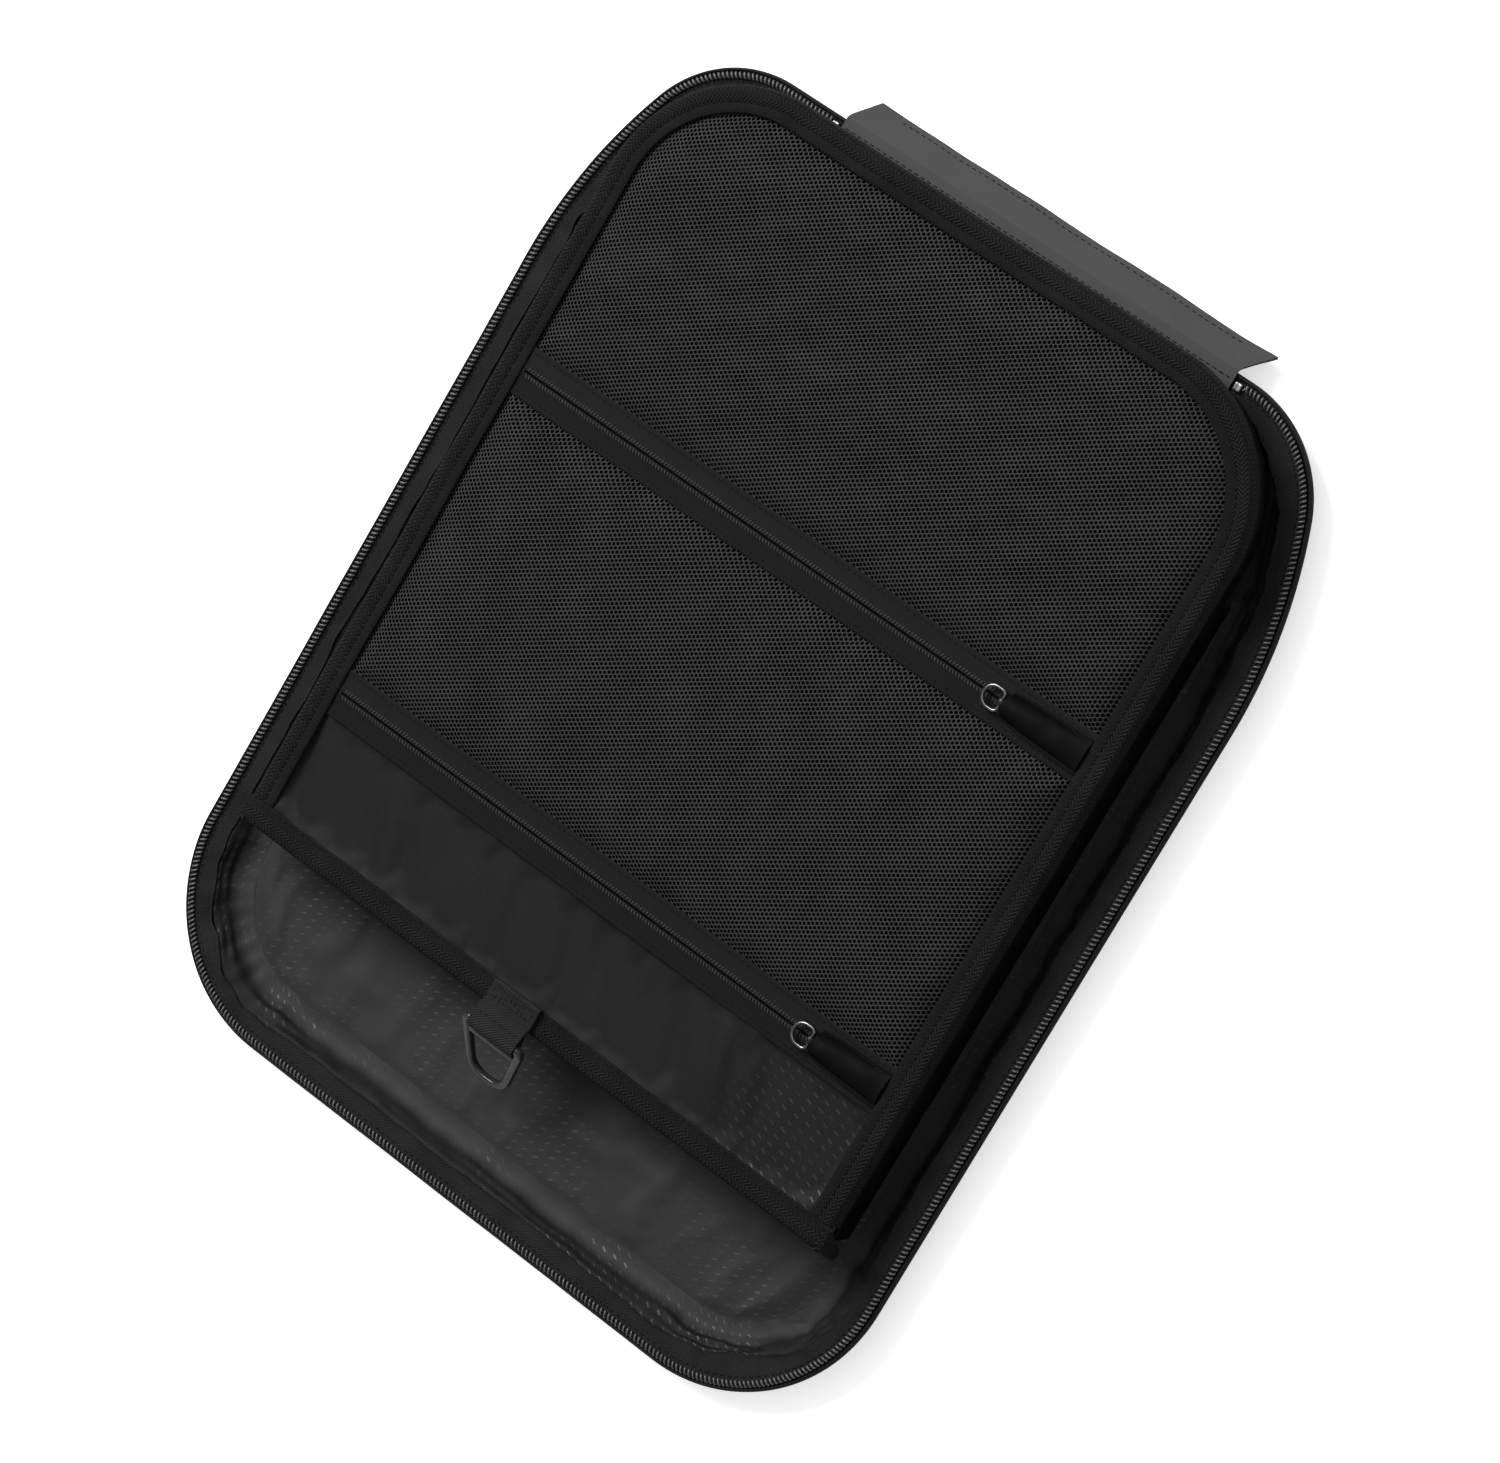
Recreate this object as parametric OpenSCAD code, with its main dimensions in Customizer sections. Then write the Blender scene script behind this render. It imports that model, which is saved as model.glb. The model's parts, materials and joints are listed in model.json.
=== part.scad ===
// Zip-round organizer lid for carry-on luggage.
// A shallow moulded tray carries a raised pocket panel: two net pockets with
// coil zips, a plain sleeve flap with a D-ring tab, and a padded sleeve behind.
// Frame: origin at the centre of the back face, +X to the right, +Y towards
// the fabric hinge, +Z out of the tray.

/* [Tray] */
// Outer width of the tray at its rim
tray_w = 360; // [352:1:372]
// Outer length of the tray at its rim
tray_l = 452; // [448:1:464]
// Rim corner radius at the free end
corner_r_free = 70; // [60:1:80]
// Rim corner radius at the hinge end
corner_r_hinge = 53; // [50:1:56]
// Radius of the gentle curve that draws the sides in towards the hinge end
side_r = 218; // [205:1:240]
// Where that curve starts, measured from the tray centre
side_y = 110; // [100:1:118]
// Height of the moulded shell up to its rim
shell_h = 14; // [12:1:14]
// How far the back face sits in from the rim all round
shell_bevel = 14; // [10:1:16]
// Wall thickness of the moulded shell
shell_t = 2; // [1.5:0.1:2.2]
// Width of the piping round the rim
rim_band_w = 2; // [1.5:0.1:2.2]
// Width of the zip tape sewn inside the rim
rim_tape_w = 10.6; // [9:0.1:11]
// Thickness of the foam pad behind the floor lining
foam_t = 2.8; // [2:0.1:2.8]

/* [Pocket panel] */
// Width of the raised pocket panel
panel_w = 310; // [300:1:312]
// Edge of the panel at the free end, measured from the tray centre
panel_y0 = -140; // [-145:1:-135]
// Edge of the panel at the hinge end, measured from the tray centre
panel_y1 = 224.5; // [220:0.5:225]
// Corner radius of the panel at the hinge end
panel_r = 60; // [56:1:62]
// Width of the woven binding round the panel
binding_w = 11.5; // [10:0.5:12]
// Underside height of the panel binding
panel_z0 = 31.6; // [31:0.1:32]
// Crown height of the net pockets over their sewn edge
net_rise = 8; // [5:0.5:10]

/* [Pocket zips] */
// Centre line of the upper zip
upper_zip_y = 75.5; // [70:0.5:80]
// Centre line of the lower zip
lower_zip_y = -75.5; // [-78:0.5:-70]
// Half width of a closed pair of zip tapes
zip_half_w = 10.5; // [9:0.5:11]
// Position of the upper pull loop pivot along X when the zip is shut
upper_slider_x = 104.2; // [95:0.1:106]
// Position of the lower pull loop pivot along X when the zip is shut
lower_slider_x = 108.2; // [95:0.1:110]
// Width of the wire pull loop
loop_w = 9; // [8:0.5:10]
// Wire radius of the pull loop
loop_wire_r = 0.8; // [0.7:0.05:0.9]

/* [Tab and ring] */
// Centre of the webbing tab along X
tab_x = -7; // [-40:1:40]
// Width of the webbing
tab_w = 24; // [20:1:24]
// Distance from the tab fold line to the ring bar
tab_reach = 10; // [9:0.5:18]
// Inside radius of the webbing loop round the ring bar
tab_bore_r = 2.06; // [2.05:0.01:2.08]
// Radius of the ring's straight bar
ring_bar_r = 2; // [1.9:0.01:2]
// Overall width of the ring
ring_w = 31.5; // [31.4:0.1:32]
// Length of the ring from its bar to the end of its bow
ring_len = 29.3; // [28:0.1:30]
// Thickness of the ring at its bow
ring_t = 3.2; // [3:0.1:3.6]
// How far the ring hangs below level at rest
ring_hang = 38; // [30:1:45]

/* [Fabric hinge] */
// End of the fabric hinge at the left
strip_x0 = -86; // [-100:1:-70]
// End of the fabric hinge at the right
strip_x1 = 108; // [90:1:112]
// Free length of the fabric hinge
strip_len = 15; // [12:0.5:15]
// How far the free part hangs below level at rest
strip_droop = 50; // [30:1:60]

/* [Hidden] */
$fn = 64;

hw = tray_w/2;
hl = tray_l/2;
pw = panel_w/2;
// Height of each layer of the panel, from the sleeve side outwards
z_sleeve = panel_z0 + 0.9;
z_pad = z_sleeve + 0.7;
z_back = z_pad + 1.7;
z_coil = 37.5;
z_net = 38.0;
z_tape = 39.0;
z_lip = 39.9;
z_top = 40.9;
// Height of the rim parts
z_rim_tape = shell_h + 0.9;
z_rim_coil = z_rim_tape + 0.7;
z_strip = shell_h + 2.4;
// Height of the pull loop pivot, above the slider
z_pull = 42.5;
// Height of the ring bar and of the tab fold line
z_tab = 44.1;
fold_y = panel_y0 + 0.4;
strip_y = hl + 1.6;
bev = shell_bevel/shell_h;
// Angle through which the gentle side curve runs before the hinge end corner
side_a = asin((hl - corner_r_hinge - side_y)/(side_r - corner_r_hinge));
// Centre of the k-th of four circles that together make a hinge end corner
function hinge_c(s, k) = [s*(hw - side_r + (side_r - corner_r_hinge)*cos(side_a*k/3)),
  side_y + (side_r - corner_r_hinge)*sin(side_a*k/3)];

// ---- outlines -------------------------------------------------------------

// Tray outline, moved in by i all round
module tray_2d(i) {
  rf = corner_r_free;
  hull() for (s = [-1, 1]) {
    translate([s*(hw - rf), -(hl - rf)]) circle(r = rf - i);
    for (k = [0:3]) translate(hinge_c(s, k)) circle(r = corner_r_hinge - i);
  }
}

// Panel outline, moved in by i all round: square at the mouth, round at the hinge
module panel_2d(i) {
  for (s = [-1, 1]) translate([s*(pw - panel_r), panel_y1 - panel_r]) circle(r = panel_r - i);
  translate([-(pw - i), panel_y0 + i]) square([2*(pw - i), panel_y1 - panel_r - panel_y0 - i]);
  translate([-(pw - panel_r), panel_y0 + i]) square([2*(pw - panel_r), panel_y1 - panel_y0 - 2*i]);
}

// Sheet with the panel outline moved in by i, cut to a band along Y
module panel_sheet(i, z, t, ya = -1000, yb = 1000) {
  translate([0, 0, z]) linear_extrude(t) intersection() {
    panel_2d(i);
    translate([-500, ya]) square([1000, yb - ya]);
  }
}

// Solid with the tray outline, moved in by i0 at z0 and by i1 at z1
module tray_taper(z0, z1, i0, i1) {
  rf = corner_r_free;
  rh = corner_r_hinge;
  hull() for (s = [-1, 1]) {
    translate([s*(hw - rf), -(hl - rf), z0]) cylinder(h = z1 - z0, r1 = rf - i0, r2 = rf - i1);
    for (k = [0:3]) translate([hinge_c(s, k)[0], hinge_c(s, k)[1], z0])
      cylinder(h = z1 - z0, r1 = rh - i0, r2 = rh - i1);
  }
}

// Flat band round the tray between two insets
module tray_ring(z, t, ia, ib) {
  translate([0, 0, z]) linear_extrude(t) difference() { tray_2d(ia); tray_2d(ib); }
}

// Room left for the fabric hinge in the rim zip
module strip_gap(extra = 0) {
  translate([strip_x0 - extra, hl - 30, 0]) cube([strip_x1 - strip_x0 + 2*extra, 60, 30]);
}

// ---- tray -----------------------------------------------------------------

module back_shell() {
  color([0.10, 0.10, 0.105]) difference() {
    tray_taper(0, shell_h, shell_bevel, 0);
    tray_taper(shell_t, shell_h + 1, shell_bevel - shell_t*bev + shell_t*1.42,
      -bev + shell_t*1.42);
  }
}

module rim_piping() {
  color([0.20, 0.20, 0.20]) tray_ring(shell_h + 0.1, 2.1, 0, rim_band_w);
}

module rim_zip_tape() {
  color([0.07, 0.07, 0.07]) difference() {
    tray_ring(z_rim_tape, 0.6, rim_band_w + 0.3, rim_band_w + 0.3 + rim_tape_w);
    strip_gap(0);
  }
}

module rim_zip_coil() {
  color([0.04, 0.04, 0.04]) difference() {
    tray_ring(z_rim_coil, 2, rim_band_w + 0.3, rim_band_w + 3);
    strip_gap(5);
  }
}

module rim_zip_end_stops() {
  color([0.5, 0.5, 0.5]) for (x = [strip_x0 - 4.6, strip_x1 + 1.4])
    translate([x, hl - rim_band_w - 4.2, z_rim_coil]) cube([3.2, 3.6, 2]);
}

module back_foam() {
  color([0.25, 0.25, 0.25]) translate([0, 0, shell_t + 0.2]) linear_extrude(foam_t)
    tray_2d(shell_bevel + 3);
}

module floor_lining() {
  color([0.09, 0.09, 0.09]) translate([0, 0, shell_t + foam_t + 0.4]) linear_extrude(0.6)
    tray_2d(shell_bevel + 3);
}

module side_lining() {
  za = shell_t + foam_t + 1.1;
  zb = z_rim_tape - 0.1;
  color([0.09, 0.09, 0.09]) difference() {
    tray_taper(za, zb, shell_bevel + 7, rim_band_w + rim_tape_w + 1.2);
    tray_taper(za, zb, shell_bevel + 8, rim_band_w + rim_tape_w + 2.2);
  }
}

// ---- fabric hinge ---------------------------------------------------------

module hinge_strip_seam() {
  color([0.28, 0.28, 0.28]) translate([strip_x0, hl - 9, z_strip])
    cube([strip_x1 - strip_x0, strip_y - hl + 8.6, 0.8]);
}

module hinge_strip() {
  color([0.30, 0.30, 0.30]) translate([0, strip_y, z_strip + 0.4]) rotate([-strip_droop, 0, 0])
    translate([0, 0, -0.4]) linear_extrude(0.8)
      polygon([[strip_x0 + 0.5, 0.5], [strip_x1 + 0.5, 0.5],
        [strip_x1 + 7, strip_len], [strip_x0 + 5, strip_len]]);
}

// ---- panel layers ---------------------------------------------------------

module sleeve_lining() {
  color([0.10, 0.10, 0.10]) panel_sheet(1.5, z_sleeve, 0.6);
}

module panel_pad() {
  color([0.28, 0.28, 0.28]) panel_sheet(1.5, z_pad, 1.6);
}

module panel_backing() {
  color([0.08, 0.08, 0.08]) panel_sheet(1.5, z_back, 0.6);
}

module sleeve_flap() {
  color([0.10, 0.10, 0.10]) panel_sheet(1.5, z_net, 0.8, panel_y0, lower_zip_y - zip_half_w + 5);
}

// Net pocket front: sewn flange all round and a crowned middle
module net(ya, yb, ea, eb) {
  inner_a = ya + ea;
  inner_b = yb - eb;
  module plate(i, z, t) {
    translate([0, 0, z]) linear_extrude(t) intersection() {
      panel_2d(binding_w + 0.6 + i);
      translate([-500, inner_a + i]) square([1000, inner_b - inner_a - 2*i]);
    }
  }
  difference() {
    panel_sheet(1.5, z_net, 0.8, ya, yb);
    plate(0.5, z_net - 1, 3);
  }
  difference() {
    hull() { plate(0, z_net, 0.3, $fn = 40); plate(20, z_net + net_rise, 0.8, $fn = 40); }
    hull() { plate(1, z_net - 0.9, 0.3, $fn = 40); plate(21, z_net + net_rise - 0.9, 0.8, $fn = 40); }
  }
}

module upper_net() {
  color([0.13, 0.13, 0.13]) net(upper_zip_y + zip_half_w - 5, 1000, 5.4,
    1000 - panel_y1 + binding_w + 0.6);
}

module middle_net() {
  color([0.13, 0.13, 0.13]) net(lower_zip_y + zip_half_w - 5, upper_zip_y - zip_half_w + 5, 5.4, 5.4);
}

module panel_binding() {
  color([0.07, 0.07, 0.07]) difference() {
    translate([0, 0, panel_z0]) linear_extrude(z_top - panel_z0) difference() {
      panel_2d(0);
      panel_2d(binding_w);
    }
    translate([0, 0, panel_z0 + 0.8]) linear_extrude(z_lip - panel_z0 - 0.8) panel_2d(1.2);
    translate([-500, panel_y0 - 10, 0]) cube([1000, binding_w + 10.2, 60]);
  }
}

module mouth_binding() {
  color([0.07, 0.07, 0.07]) {
    difference() {
      translate([-pw, panel_y0, panel_z0]) cube([2*pw, binding_w, z_top - panel_z0]);
      translate([-pw + 1.2, panel_y0 + 1.2, panel_z0 + 0.8])
        cube([2*pw - 2.4, binding_w, z_lip - panel_z0 - 0.8]);
    }
    // loose ends that droop past the panel's corners and taper to a tip
    for (s = [-1, 1]) translate([s*(pw - 0.9), panel_y0 + 0.4, z_top - 1.1])
      rotate([0, 90 - s*14, 0]) translate([0, 0, -0.5]) hull() {
        cube([1, binding_w - 0.8, 1]);
        translate([12.5, -3.2, 0]) cube([0.5, 5, 1]);
      }
  }
}

module gusset(s) {
  color([0.06, 0.06, 0.06]) translate([s > 0 ? pw - 4.6 : -pw + 4, panel_y0 + 3, shell_t + foam_t + 1.2])
    cube([0.6, 287, panel_z0 - shell_t - foam_t - 1.4]);
}

module left_gusset() { gusset(-1); }
module right_gusset() { gusset(1); }

module top_gusset() {
  color([0.06, 0.06, 0.06]) translate([0, 0, z_strip + 1.4])
    linear_extrude(panel_z0 - z_strip - 1.6) intersection() {
      difference() { panel_2d(3.4); panel_2d(4); }
      translate([-500, panel_y0 + 291]) square([1000, 200]);
    }
}

// ---- pocket zips ----------------------------------------------------------

module zip_tape(y) {
  color([0.11, 0.11, 0.11]) for (s = [-1, 1])
    translate([-(pw - 1.6), s > 0 ? y + 0.6 : y - zip_half_w, z_tape])
      cube([2*(pw - 1.6), zip_half_w - 0.6, 0.7]);
}

module zip_coil(y, sx) {
  color([0.03, 0.03, 0.03]) for (s = [-1, 1])
    translate([-142, s > 0 ? y + 0.6 : y - 2.3, z_coil]) cube([153 + sx, 1.7, 1.4]);
}

module zip_end_stops(y, sx) {
  color([0.15, 0.15, 0.15]) for (x = [-147, sx + 11.4])
    translate([x, y - 2.3, z_coil]) cube([4, 4.6, 1.4]);
}

// Fabric hood the parked slider sits under, narrow at its mouth
module zip_garage(y, sx) {
  x0 = sx + 2.2;
  x1 = pw - binding_w - 0.3;
  color([0.06, 0.06, 0.06]) difference() {
    translate([0, y, z_lip]) linear_extrude(5)
      polygon([[x0, -6.1], [x1, -8.2], [x1, 8.2], [x0, 6.1]]);
    translate([0, y, z_lip - 1]) linear_extrude(5.2)
      polygon([[x0 - 1, -5.2], [x1 - 1, -7.3], [x1 - 1, 7.3], [x0 - 1, 5.2]]);
  }
}

module slider(y, sx) {
  color([0.09, 0.09, 0.09]) difference() {
    union() {
      translate([sx - 1.6, y - 3.9, z_lip]) cube([12.6, 7.8, 1.2]);
      translate([sx + 6, y - 0.5, z_lip - 3.4]) cube([3.5, 1, 4]);
      translate([sx - 0.6, y - 3.6, z_coil - 1.5]) cube([11, 7.2, 1.2]);
      for (s = [-1, 1]) translate([sx - 0.6, s > 0 ? y + 2.6 : y - 3.6, z_coil - 0.5])
        cube([11, 1, 1.7]);
      translate([sx - 1.6, y - 1.4, z_lip + 1]) cube([3.2, 2.8, 3.1]);
    }
    translate([sx, y - 5, z_pull]) rotate([-90, 0, 0]) cylinder(h = 10, r = loop_wire_r + 0.05);
  }
}

// Bent wire loop, pivoting in the slider's lug
module pull_loop(y, sx) {
  c = loop_w/2;
  r = 2;
  color([0.12, 0.12, 0.12]) translate([sx, y, z_pull]) {
    translate([0, -(c - r), 0]) rotate([-90, 0, 0]) cylinder(h = 2*(c - r), r = loop_wire_r);
    for (s = [-1, 1]) {
      translate([-r, s*(c - r), 0]) rotate([0, 0, s > 0 ? 0 : -90])
        rotate_extrude(angle = 90) translate([r, 0]) circle(r = loop_wire_r);
      translate([-r - 2, s*c, 0]) rotate([0, 90, 0]) cylinder(h = 2, r = loop_wire_r);
    }
    translate([-r - 2, 0, 0]) rotate([0, 0, 90])
      rotate_extrude(angle = 180) translate([c, 0]) circle(r = loop_wire_r);
  }
}

module upper_zip_tape() { zip_tape(upper_zip_y); }
module upper_zip_coil() { zip_coil(upper_zip_y, upper_slider_x); }
module upper_zip_end_stops() { zip_end_stops(upper_zip_y, upper_slider_x); }
module upper_zip_garage() { zip_garage(upper_zip_y, upper_slider_x); }
module upper_slider() { slider(upper_zip_y, upper_slider_x); }
module upper_pull_loop() { pull_loop(upper_zip_y, upper_slider_x); }
module lower_zip_tape() { zip_tape(lower_zip_y); }
module lower_zip_coil() { zip_coil(lower_zip_y, lower_slider_x); }
module lower_zip_end_stops() { zip_end_stops(lower_zip_y, lower_slider_x); }
module lower_zip_garage() { zip_garage(lower_zip_y, lower_slider_x); }
module lower_slider() { slider(lower_zip_y, lower_slider_x); }
module lower_pull_loop() { pull_loop(lower_zip_y, lower_slider_x); }

// ---- webbing tab and ring -------------------------------------------------

// Sewn end of the webbing, lying on the mouth binding
module tab_anchor() {
  color([0.12, 0.12, 0.12]) translate([tab_x - tab_w/2, fold_y + 0.6, z_top + 0.1])
    cube([tab_w, 8.4, 2.2]);
}

// Free loop of the webbing, wrapped round the ring bar
module webbing_tab() {
  by = fold_y - tab_reach;
  color([0.12, 0.12, 0.12]) difference() {
    union() {
      translate([tab_x - tab_w/2, by, z_tab - 1.2]) cube([tab_w, tab_reach - 0.9, 2.4]);
      translate([tab_x - tab_w/2, by, z_tab]) rotate([0, 90, 0])
        cylinder(h = tab_w, r = tab_bore_r + 1.2);
    }
    translate([tab_x - tab_w, by, z_tab]) rotate([0, 90, 0]) cylinder(h = 2*tab_w, r = tab_bore_r);
  }
}

// Long D-shaped ring: round bar in the webbing, a cross bar just outside it and a flat bow
module d_ring() {
  w = ring_w/2;
  color([0.14, 0.14, 0.14]) translate([tab_x, fold_y - tab_reach, z_tab]) rotate([ring_hang, 0, 0]) {
    translate([-(w - 2), 0, 0]) rotate([0, 90, 0]) cylinder(h = 2*(w - 2), r = ring_bar_r);
    translate([0, 0, -ring_t/2]) linear_extrude(ring_t) difference() {
      hull() for (s = [-1, 1]) {
        translate([s*(w - 3), -1.2]) circle(r = 3);
        translate([s*1.6, -(ring_len - 10)]) circle(r = 10);
      }
      // slot for the webbing
      translate([-tab_w/2 - 0.35, -4.3]) square([tab_w + 0.7, 20]);
      // opening of the bow
      hull() for (s = [-1, 1]) {
        translate([s*9.9, -7.7]) circle(r = 1.3);
        translate([s*1.6, -(ring_len - 10)]) circle(r = 6.6);
      }
    }
  }
}

back_shell();
rim_piping();
rim_zip_tape();
rim_zip_coil();
rim_zip_end_stops();
back_foam();
floor_lining();
side_lining();
hinge_strip_seam();
sleeve_lining();
panel_pad();
panel_backing();
sleeve_flap();
upper_net();
middle_net();
upper_zip_tape();
upper_zip_coil();
upper_zip_end_stops();
upper_zip_garage();
lower_zip_tape();
lower_zip_coil();
lower_zip_end_stops();
lower_zip_garage();
panel_binding();
mouth_binding();
left_gusset();
right_gusset();
top_gusset();
tab_anchor();
upper_slider();
lower_slider();
upper_pull_loop();
lower_pull_loop();
webbing_tab();
d_ring();
hinge_strip();
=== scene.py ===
import json
import math
import bpy
import bmesh
import numpy as np
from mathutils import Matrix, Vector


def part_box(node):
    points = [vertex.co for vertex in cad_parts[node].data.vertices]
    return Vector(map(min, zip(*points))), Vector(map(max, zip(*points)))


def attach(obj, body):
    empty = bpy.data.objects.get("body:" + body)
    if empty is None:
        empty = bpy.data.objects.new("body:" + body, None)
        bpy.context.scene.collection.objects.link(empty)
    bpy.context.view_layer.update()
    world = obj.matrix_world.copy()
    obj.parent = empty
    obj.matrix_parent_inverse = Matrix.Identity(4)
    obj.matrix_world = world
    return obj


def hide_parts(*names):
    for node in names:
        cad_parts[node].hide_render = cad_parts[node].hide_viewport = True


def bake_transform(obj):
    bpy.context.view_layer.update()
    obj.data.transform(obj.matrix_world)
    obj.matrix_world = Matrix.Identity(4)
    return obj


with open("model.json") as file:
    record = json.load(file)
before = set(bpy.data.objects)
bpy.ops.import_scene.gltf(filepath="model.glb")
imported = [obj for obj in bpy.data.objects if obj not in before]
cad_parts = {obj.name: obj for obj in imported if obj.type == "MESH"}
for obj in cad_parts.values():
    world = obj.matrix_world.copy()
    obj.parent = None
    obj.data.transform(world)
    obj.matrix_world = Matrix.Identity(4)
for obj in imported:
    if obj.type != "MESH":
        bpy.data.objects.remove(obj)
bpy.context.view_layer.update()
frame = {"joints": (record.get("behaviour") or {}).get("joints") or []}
MM = 0.001
COL = bpy.context.scene.collection


# ---- the frame, in millimetres --------------------------------------------

def bx(node):
    lo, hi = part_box(node)
    return np.array(lo) * 1000, np.array(hi) * 1000


pip_lo, pip_hi = bx("rim_piping")
HW, HL = pip_hi[0], pip_hi[1]
SHELL_H = bx("back_shell")[1][2]
RF, RH = 70.0, 53.0
SR, SY = 218.0, 110.0
PHI = math.degrees(math.asin((HL - RH - SY) / (SR - RH)))
CX2 = HW - SR + (SR - RH) * math.cos(math.radians(PHI))
CY2 = HL - RH
tape_lo, tape_hi = bx("rim_zip_tape")
coil_lo, coil_hi = bx("rim_zip_coil")
floor_lo, floor_hi = bx("floor_lining")
side_lo, side_hi = bx("side_lining")
seam_lo, seam_hi = bx("hinge_strip_seam")
X0S, X1S = seam_lo[0], seam_hi[0]
pb_lo, pb_hi = bx("panel_binding")
mb_lo, mb_hi = bx("mouth_binding")
PW, PY1, PR = pb_hi[0], pb_hi[1], 60.0
PY0 = mb_lo[1]
ZT = pb_hi[2]
ZB = pb_lo[2]
BW = 11.5
net_lo, net_hi = bx("upper_net")
mnet_lo, mnet_hi = bx("middle_net")
ZNET = net_lo[2]
zt_lo, zt_hi = bx("upper_zip_tape")
ZTAPE = zt_lo[2]
UZ = (zt_lo[1] + zt_hi[1]) / 2
lt_lo, lt_hi = bx("lower_zip_tape")
LZ = (lt_lo[1] + lt_hi[1]) / 2
ZHALF = (zt_hi[1] - zt_lo[1]) / 2
uc_lo, uc_hi = bx("upper_zip_coil")
lc_lo, lc_hi = bx("lower_zip_coil")
USX = uc_hi[0] - 11.0
LSX = lc_hi[0] - 11.0
ring_lo, ring_hi = bx("d_ring")
tab_lo, tab_hi = bx("webbing_tab")
anc_lo, anc_hi = bx("tab_anchor")
TX = (ring_lo[0] + ring_hi[0]) / 2
RINGW = ring_hi[0] - ring_lo[0]
ZBAR = (ring_lo[2] + ring_hi[2]) / 2
for j in frame["joints"]:
    if j["name"] == "ring_turn":
        YBAR = j["pos_m"][1] * 1000
        ZBAR = j["pos_m"][2] * 1000
    if j["name"] == "tab_fold":
        YFOLD = j["pos_m"][1] * 1000
    if j["name"] == "strip_fold":
        YSTRIP, ZSTRIP = j["pos_m"][1] * 1000, j["pos_m"][2] * 1000
    if j["name"] == "upper_pull_turn":
        ZPULL = j["pos_m"][2] * 1000


# ---- numbers that repeat each run -----------------------------------------

def waves(seed, lo, hi, count=14):
    """Smooth noise of x and y: a sum of plane waves with wavelengths from lo to hi mm, about -1 to 1."""
    r = np.random.default_rng(seed)
    lam = lo * (hi / lo) ** r.random(count)
    ang = r.random(count) * 2 * np.pi
    ph = r.random(count) * 2 * np.pi
    kx, ky = 2 * np.pi / lam * np.cos(ang), 2 * np.pi / lam * np.sin(ang)
    amp = (lam / hi) ** 0.5

    def f(x, y=0.0):
        x, y = np.broadcast_arrays(np.asarray(x, float), np.asarray(y, float))
        s = np.zeros(x.shape)
        for a, b, c, d in zip(kx, ky, ph, amp):
            s += d * np.sin(a * x + b * y + c)
        return s / math.sqrt((amp ** 2).sum() / 2) * 0.6
    return f


def smooth(t):
    t = np.clip(t, 0, 1)
    return t * t * (3 - 2 * t)


# ---- meshes ---------------------------------------------------------------

class Geo:
    def __init__(self):
        self.v, self.n, self.f, self.uv, self.m = [], 0, [], [], []

    def add(self, v, groups, uvs=None, m=0):
        v = np.asarray(v, float).reshape(-1, 3)
        for k, g in enumerate(groups):
            g = np.asarray(g, np.int64)
            if g.size == 0:
                continue
            self.f.append(g + self.n)
            u = None if uvs is None else uvs[k]
            self.uv.append(v[g][:, :, :2] if u is None else np.asarray(u, float))
            self.m.append(np.full(len(g), m, np.int32))
        self.v.append(v)
        self.n += len(v)
        return self

    def mesh(self, name, mats, angle=50, recalc=False):
        v = np.concatenate(self.v) * MM
        me = bpy.data.meshes.new(name)
        loops = np.concatenate([g.ravel() for g in self.f]).astype(np.int32)
        tot = np.concatenate([np.full(len(g), g.shape[1]) for g in self.f])
        start = np.concatenate([[0], np.cumsum(tot)[:-1]]).astype(np.int32)
        me.vertices.add(len(v))
        me.vertices.foreach_set("co", v.astype(np.float32).ravel())
        me.loops.add(len(loops))
        me.loops.foreach_set("vertex_index", loops)
        me.polygons.add(len(tot))
        me.polygons.foreach_set("loop_start", start)
        me.polygons.foreach_set("material_index", np.concatenate(self.m))
        me.polygons.foreach_set("use_smooth", np.ones(len(tot), bool))
        me.update(calc_edges=True)
        layer = me.uv_layers.new(name="cloth_uv")
        uv = np.concatenate([u.reshape(-1, 2) for u in self.uv]).astype(np.float32)
        layer.data.foreach_set("uv", uv.ravel())
        me.validate()
        if recalc:
            bm = bmesh.new()
            bm.from_mesh(me)
            bmesh.ops.recalc_face_normals(bm, faces=bm.faces)
            bm.to_mesh(me)
            bm.free()
        if angle:
            me.set_sharp_from_angle(angle=math.radians(angle))
        for mt in mats:
            me.materials.append(mt)
        ob = bpy.data.objects.new(name, me)
        COL.objects.link(ob)
        return ob


def place(name, geo, mats, body="tray", replaces=(), slot=None, angle=50, recalc=True, blend=None):
    if not isinstance(mats, (list, tuple)):
        mats = [mats]
    ob = geo.mesh(name, mats, angle, recalc) if isinstance(geo, Geo) else geo
    if blend:
        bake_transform(ob)
    else:
        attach(ob, body)
    if replaces:
        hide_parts(*replaces)
    return ob


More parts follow.
